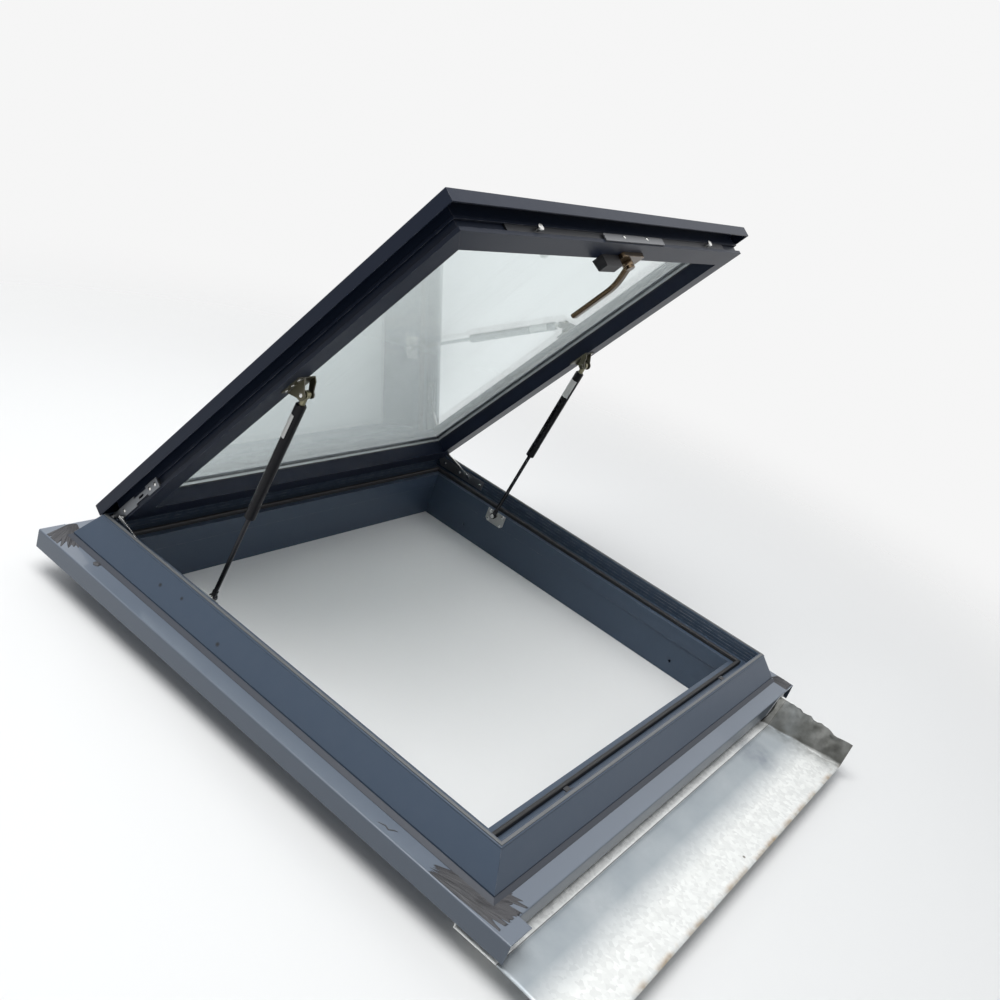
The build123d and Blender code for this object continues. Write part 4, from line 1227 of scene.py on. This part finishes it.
@dataclass
class ApronDress(Dress):
    """The apron sheet with its slight waves and crumpled end."""

    cut: float = 0.008
    wave: float = 0.0006
    crumple: float = 0.0060
    crumple_start: float = 0.405
    crumple_full: float = 0.450
    low_guard: float = 0.004
    crease_y: float = -0.461
    crease_width: float = 0.0010
    crease_depth: float = 0.0005
    weld: float = 1e-5
    cut_slack: float = 1e-6
    fold_scale: float = 28.0
    dent_scale: float = 45.0
    dent_seed: float = 9.0
    lift: float = 0.5
    ridge: float = 2.2
    swell: float = 0.5
    sideways: float = 0.6
    level_share: float = 0.5

    def build(self, frame: dict) -> None:
        """Builds the sheet from the construction's own form.

        Args:
            frame: the loaded frame.
        """
        shape = bmesh.new()
        shape.from_mesh(frame["nodes"]["apron_flashing"].data)
        bmesh.ops.remove_doubles(shape, verts=shape.verts, dist=self.weld)
        low, high = (Vector(corner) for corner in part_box("apron_flashing"))
        for axis in (0, 1):
            for step in range(1, int((high[axis] - low[axis]) / self.cut)):
                self._slice(shape, axis, low[axis] + step * self.cut)
        for offset in (-self.crease_width, 0.0, self.crease_width):
            self._slice(shape, 1, self.crease_y + offset)
        for vert in shape.verts:
            on_crease = abs(vert.co.y - self.crease_y) < self.crease_width * 0.5
            vert.co += self._shift(vert.co, low, high)
            if on_crease and vert.co.x < self.crumple_start:
                vert.co.z -= self.crease_depth
        bmesh.ops.triangulate(shape, faces=shape.faces)
        finish = Finishes.galvanised
        sheet = self.piece(shape, "apron_sheet", Body.FRAME, "galvanised", finish)
        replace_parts(sheet, "apron_flashing")

    def _slice(self, shape: Shape, axis: int, place: float) -> None:
        """Cuts the sheet's faces along a plane, so that they can bend there.

        Args:
            shape: the mesh.
            axis: 0 for a plane across X, 1 for one across Y.
            place: where it stands on that axis.
        """
        normal = Vector((0.0, 0.0, 0.0))
        normal[axis] = 1.0
        whole = shape.verts[:] + shape.edges[:] + shape.faces[:]
        bmesh.ops.bisect_plane(
            shape, geom=whole, plane_co=normal * place, plane_no=normal, dist=self.cut_slack
        )

    def _shift(self, place: Vector, low: Vector, high: Vector) -> Vector:
        """How far a point of the sheet is pushed, less near the box's faces.

        Args:
            place: the point.
            low: the sheet's lowest corner.
            high: its highest corner.

        Returns:
            The push.
        """
        run = (place.x - self.crumple_start) / (self.crumple_full - self.crumple_start)
        share = min(1.0, max(0.0, run))
        reach = self.wave + (self.crumple - self.wave) * share
        spare = min(min(place - low), min(high - place))
        reach *= min(1.0, max(0.0, spare / self.low_guard))
        fold = noise.noise(place * self.fold_scale)
        dent = noise.noise(place * self.dent_scale + Vector((0.0, 0.0, self.dent_seed)))
        crushed = share * (self.lift - self.ridge * abs(dent))
        push = reach * (fold + crushed + (1.0 - share) * self.swell * dent)
        return Vector((push * share * self.sideways, 0.0, push * (1.0 - self.level_share * share)))


@dataclass
class Studio:
    """Camera, floor and lights."""

    camera_place: Point = (-1.543, -0.7846, 1.1043)
    camera_right: Point = (0.57535, -0.75388, 0.31723)
    camera_down: Point = (-0.15568, -0.4817, -0.8624)
    camera_ahead: Point = (0.80295, 0.4468, -0.39451)
    lens: float = 37.84
    sensor: float = 36.0
    nearest: float = 0.01
    floor_radius: float = 4.0
    floor_sides: int = 96
    floor_colour: Colour = (0.80, 0.80, 0.79)
    floor_roughness: float = 0.9
    floor_gap: float = 0.0005
    fade_start: float = 0.9
    fade_end: float = 2.6
    background: float = 0.92
    sky_colour: Colour = (0.86, 0.90, 0.96)
    sky_strength: float = 0.42
    aim: Point = (0.0, 0.0, 0.3)
    lamps: tuple[tuple[Point, float, float], ...] = (
        ((-1.0, 0.3, 3.2), 2.0, 92.0),
        ((1.8, -0.6, 2.4), 2.2, 9.0),
        ((0.2, 2.2, 2.6), 2.6, 18.0),
    )

    def camera(self) -> None:
        """Places the camera where the photograph was taken from."""
        data = bpy.data.cameras.new("camera")
        data.lens = self.lens
        data.sensor_width = self.sensor
        data.clip_start = self.nearest
        camera = link("camera", data)
        right = Vector(self.camera_right)
        up = -Vector(self.camera_down)
        back = -Vector(self.camera_ahead)
        turn = Matrix((right, up, back)).transposed().to_4x4()
        camera.matrix_world = Matrix.Translation(self.camera_place) @ turn
        bpy.context.scene.camera = camera

    def floor(self) -> None:
        """Lays the pale floor, which fades into the background."""
        shape = bmesh.new()
        bmesh.ops.create_circle(
            shape, cap_ends=True, segments=self.floor_sides, radius=self.floor_radius
        )
        low = min(corner[2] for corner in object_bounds()) - self.floor_gap
        bmesh.ops.translate(shape, vec=(0.0, 0.0, low), verts=shape.verts)
        mesh = bpy.data.meshes.new("floor")
        shape.to_mesh(mesh)
        shape.free()
        material = bpy.data.materials.new("floor")
        material.use_nodes = True
        tree = material.node_tree
        shader = tree.nodes["Principled BSDF"]
        colour = (*self.floor_colour, 1.0)
        fill(shader, {"Base Color": colour, "Roughness": self.floor_roughness})
        self._fade(tree, shader.outputs["BSDF"])
        mesh.materials.append(material)
        link("floor", mesh)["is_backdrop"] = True

    def _fade(self, tree: Tree, solid: Socket) -> None:
        """Lets the floor fade out towards its edge.

        Args:
            tree: the floor's tree.
            solid: its shader.
        """
        reach = add(tree, "VectorMath", {0: coordinates(tree)}, operation="LENGTH").outputs["Value"]
        inputs = {"Value": reach, "From Min": self.fade_start, "From Max": self.fade_end}
        fade = add(tree, "MapRange", inputs, interpolation_type="SMOOTHERSTEP").outputs["Result"]
        clear = add(tree, "BsdfTransparent").outputs["BSDF"]
        mix = add(tree, "MixShader", {"Fac": fade, 1: solid, 2: clear})
        fill(tree.nodes["Material Output"], {"Surface": mix.outputs["Shader"]})

    def world(self) -> None:
        """Sets the pale surroundings."""
        world = bpy.data.worlds.new("surroundings")
        bpy.context.scene.world = world
        world.use_nodes = True
        tree = world.node_tree
        soft = tree.nodes["Background"]
        fill(soft, {"Color": (*self.sky_colour, 1.0), "Strength": self.sky_strength})
        pale = add(tree, "Background", {"Color": (self.background,) * 3 + (1.0,)})
        path = add(tree, "LightPath").outputs
        mirrored = combine(tree, "MAXIMUM", path["Is Glossy Ray"], path["Is Transmission Ray"])
        seen = combine(tree, "MAXIMUM", path["Is Camera Ray"], mirrored)
        inputs = {"Fac": seen, 1: soft.outputs["Background"], 2: pale.outputs["Background"]}
        mix = add(tree, "MixShader", inputs)
        fill(tree.nodes["World Output"], {"Surface": mix.outputs["Shader"]})

    def lights(self) -> None:
        """Hangs the soft lamps, each turned to the window's middle."""
        for number, (place, size, power) in enumerate(self.lamps):
            data = bpy.data.lights.new(f"lamp_{number}", "AREA")
            data.size = size
            data.energy = power
            lamp = link(f"lamp_{number}", data)
            lamp.location = place
            ahead = Vector(self.aim) - Vector(place)
            lamp.rotation_euler = ahead.to_track_quat("-Z", "Y").to_euler()

    def build(self) -> None:
        """Sets up everything around the window."""
        self.camera()
        self.floor()
        self.world()
        self.lights()
        bpy.context.scene.view_settings.view_transform = "Standard"


def finish_of(name: str) -> Finish:
    """Finish of a construction node.

    Args:
        name: the node's name.

    Returns:
        Its finish.
    """
    return next(finish for start, finish in NODE_FINISHES.items() if name.startswith(start))


def dress_nodes(frame: dict, makers: MaterialMaker) -> None:
    """Gives every construction node its finish.

    Args:
        frame: the loaded frame.
        makers: the materials.
    """
    for name, node in frame["nodes"].items():
        finish = finish_of(name)
        material = makers.get(finish)
        if not node.material_slots:
            LOG.warning("%s has no material slot", name)
        for place in node.material_slots:
            place.link = "OBJECT"
            place.material = material
        LOG.info("%s: %s", name, finish.name)


def main() -> None:
    """Builds the dressed window around its construction."""
    logging.basicConfig(level=logging.INFO, format="%(name)s: %(message)s")
    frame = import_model()
    makers = MaterialMaker()
    dress_nodes(frame, makers)
    StrutDress(makers).build()
    HandleDress(makers).build()
    SealantDress(makers).build()
    ScrewDress(makers).build(frame)
    ApronDress(makers).build(frame)
    Studio().build()


if __name__ == "__main__":
    main()
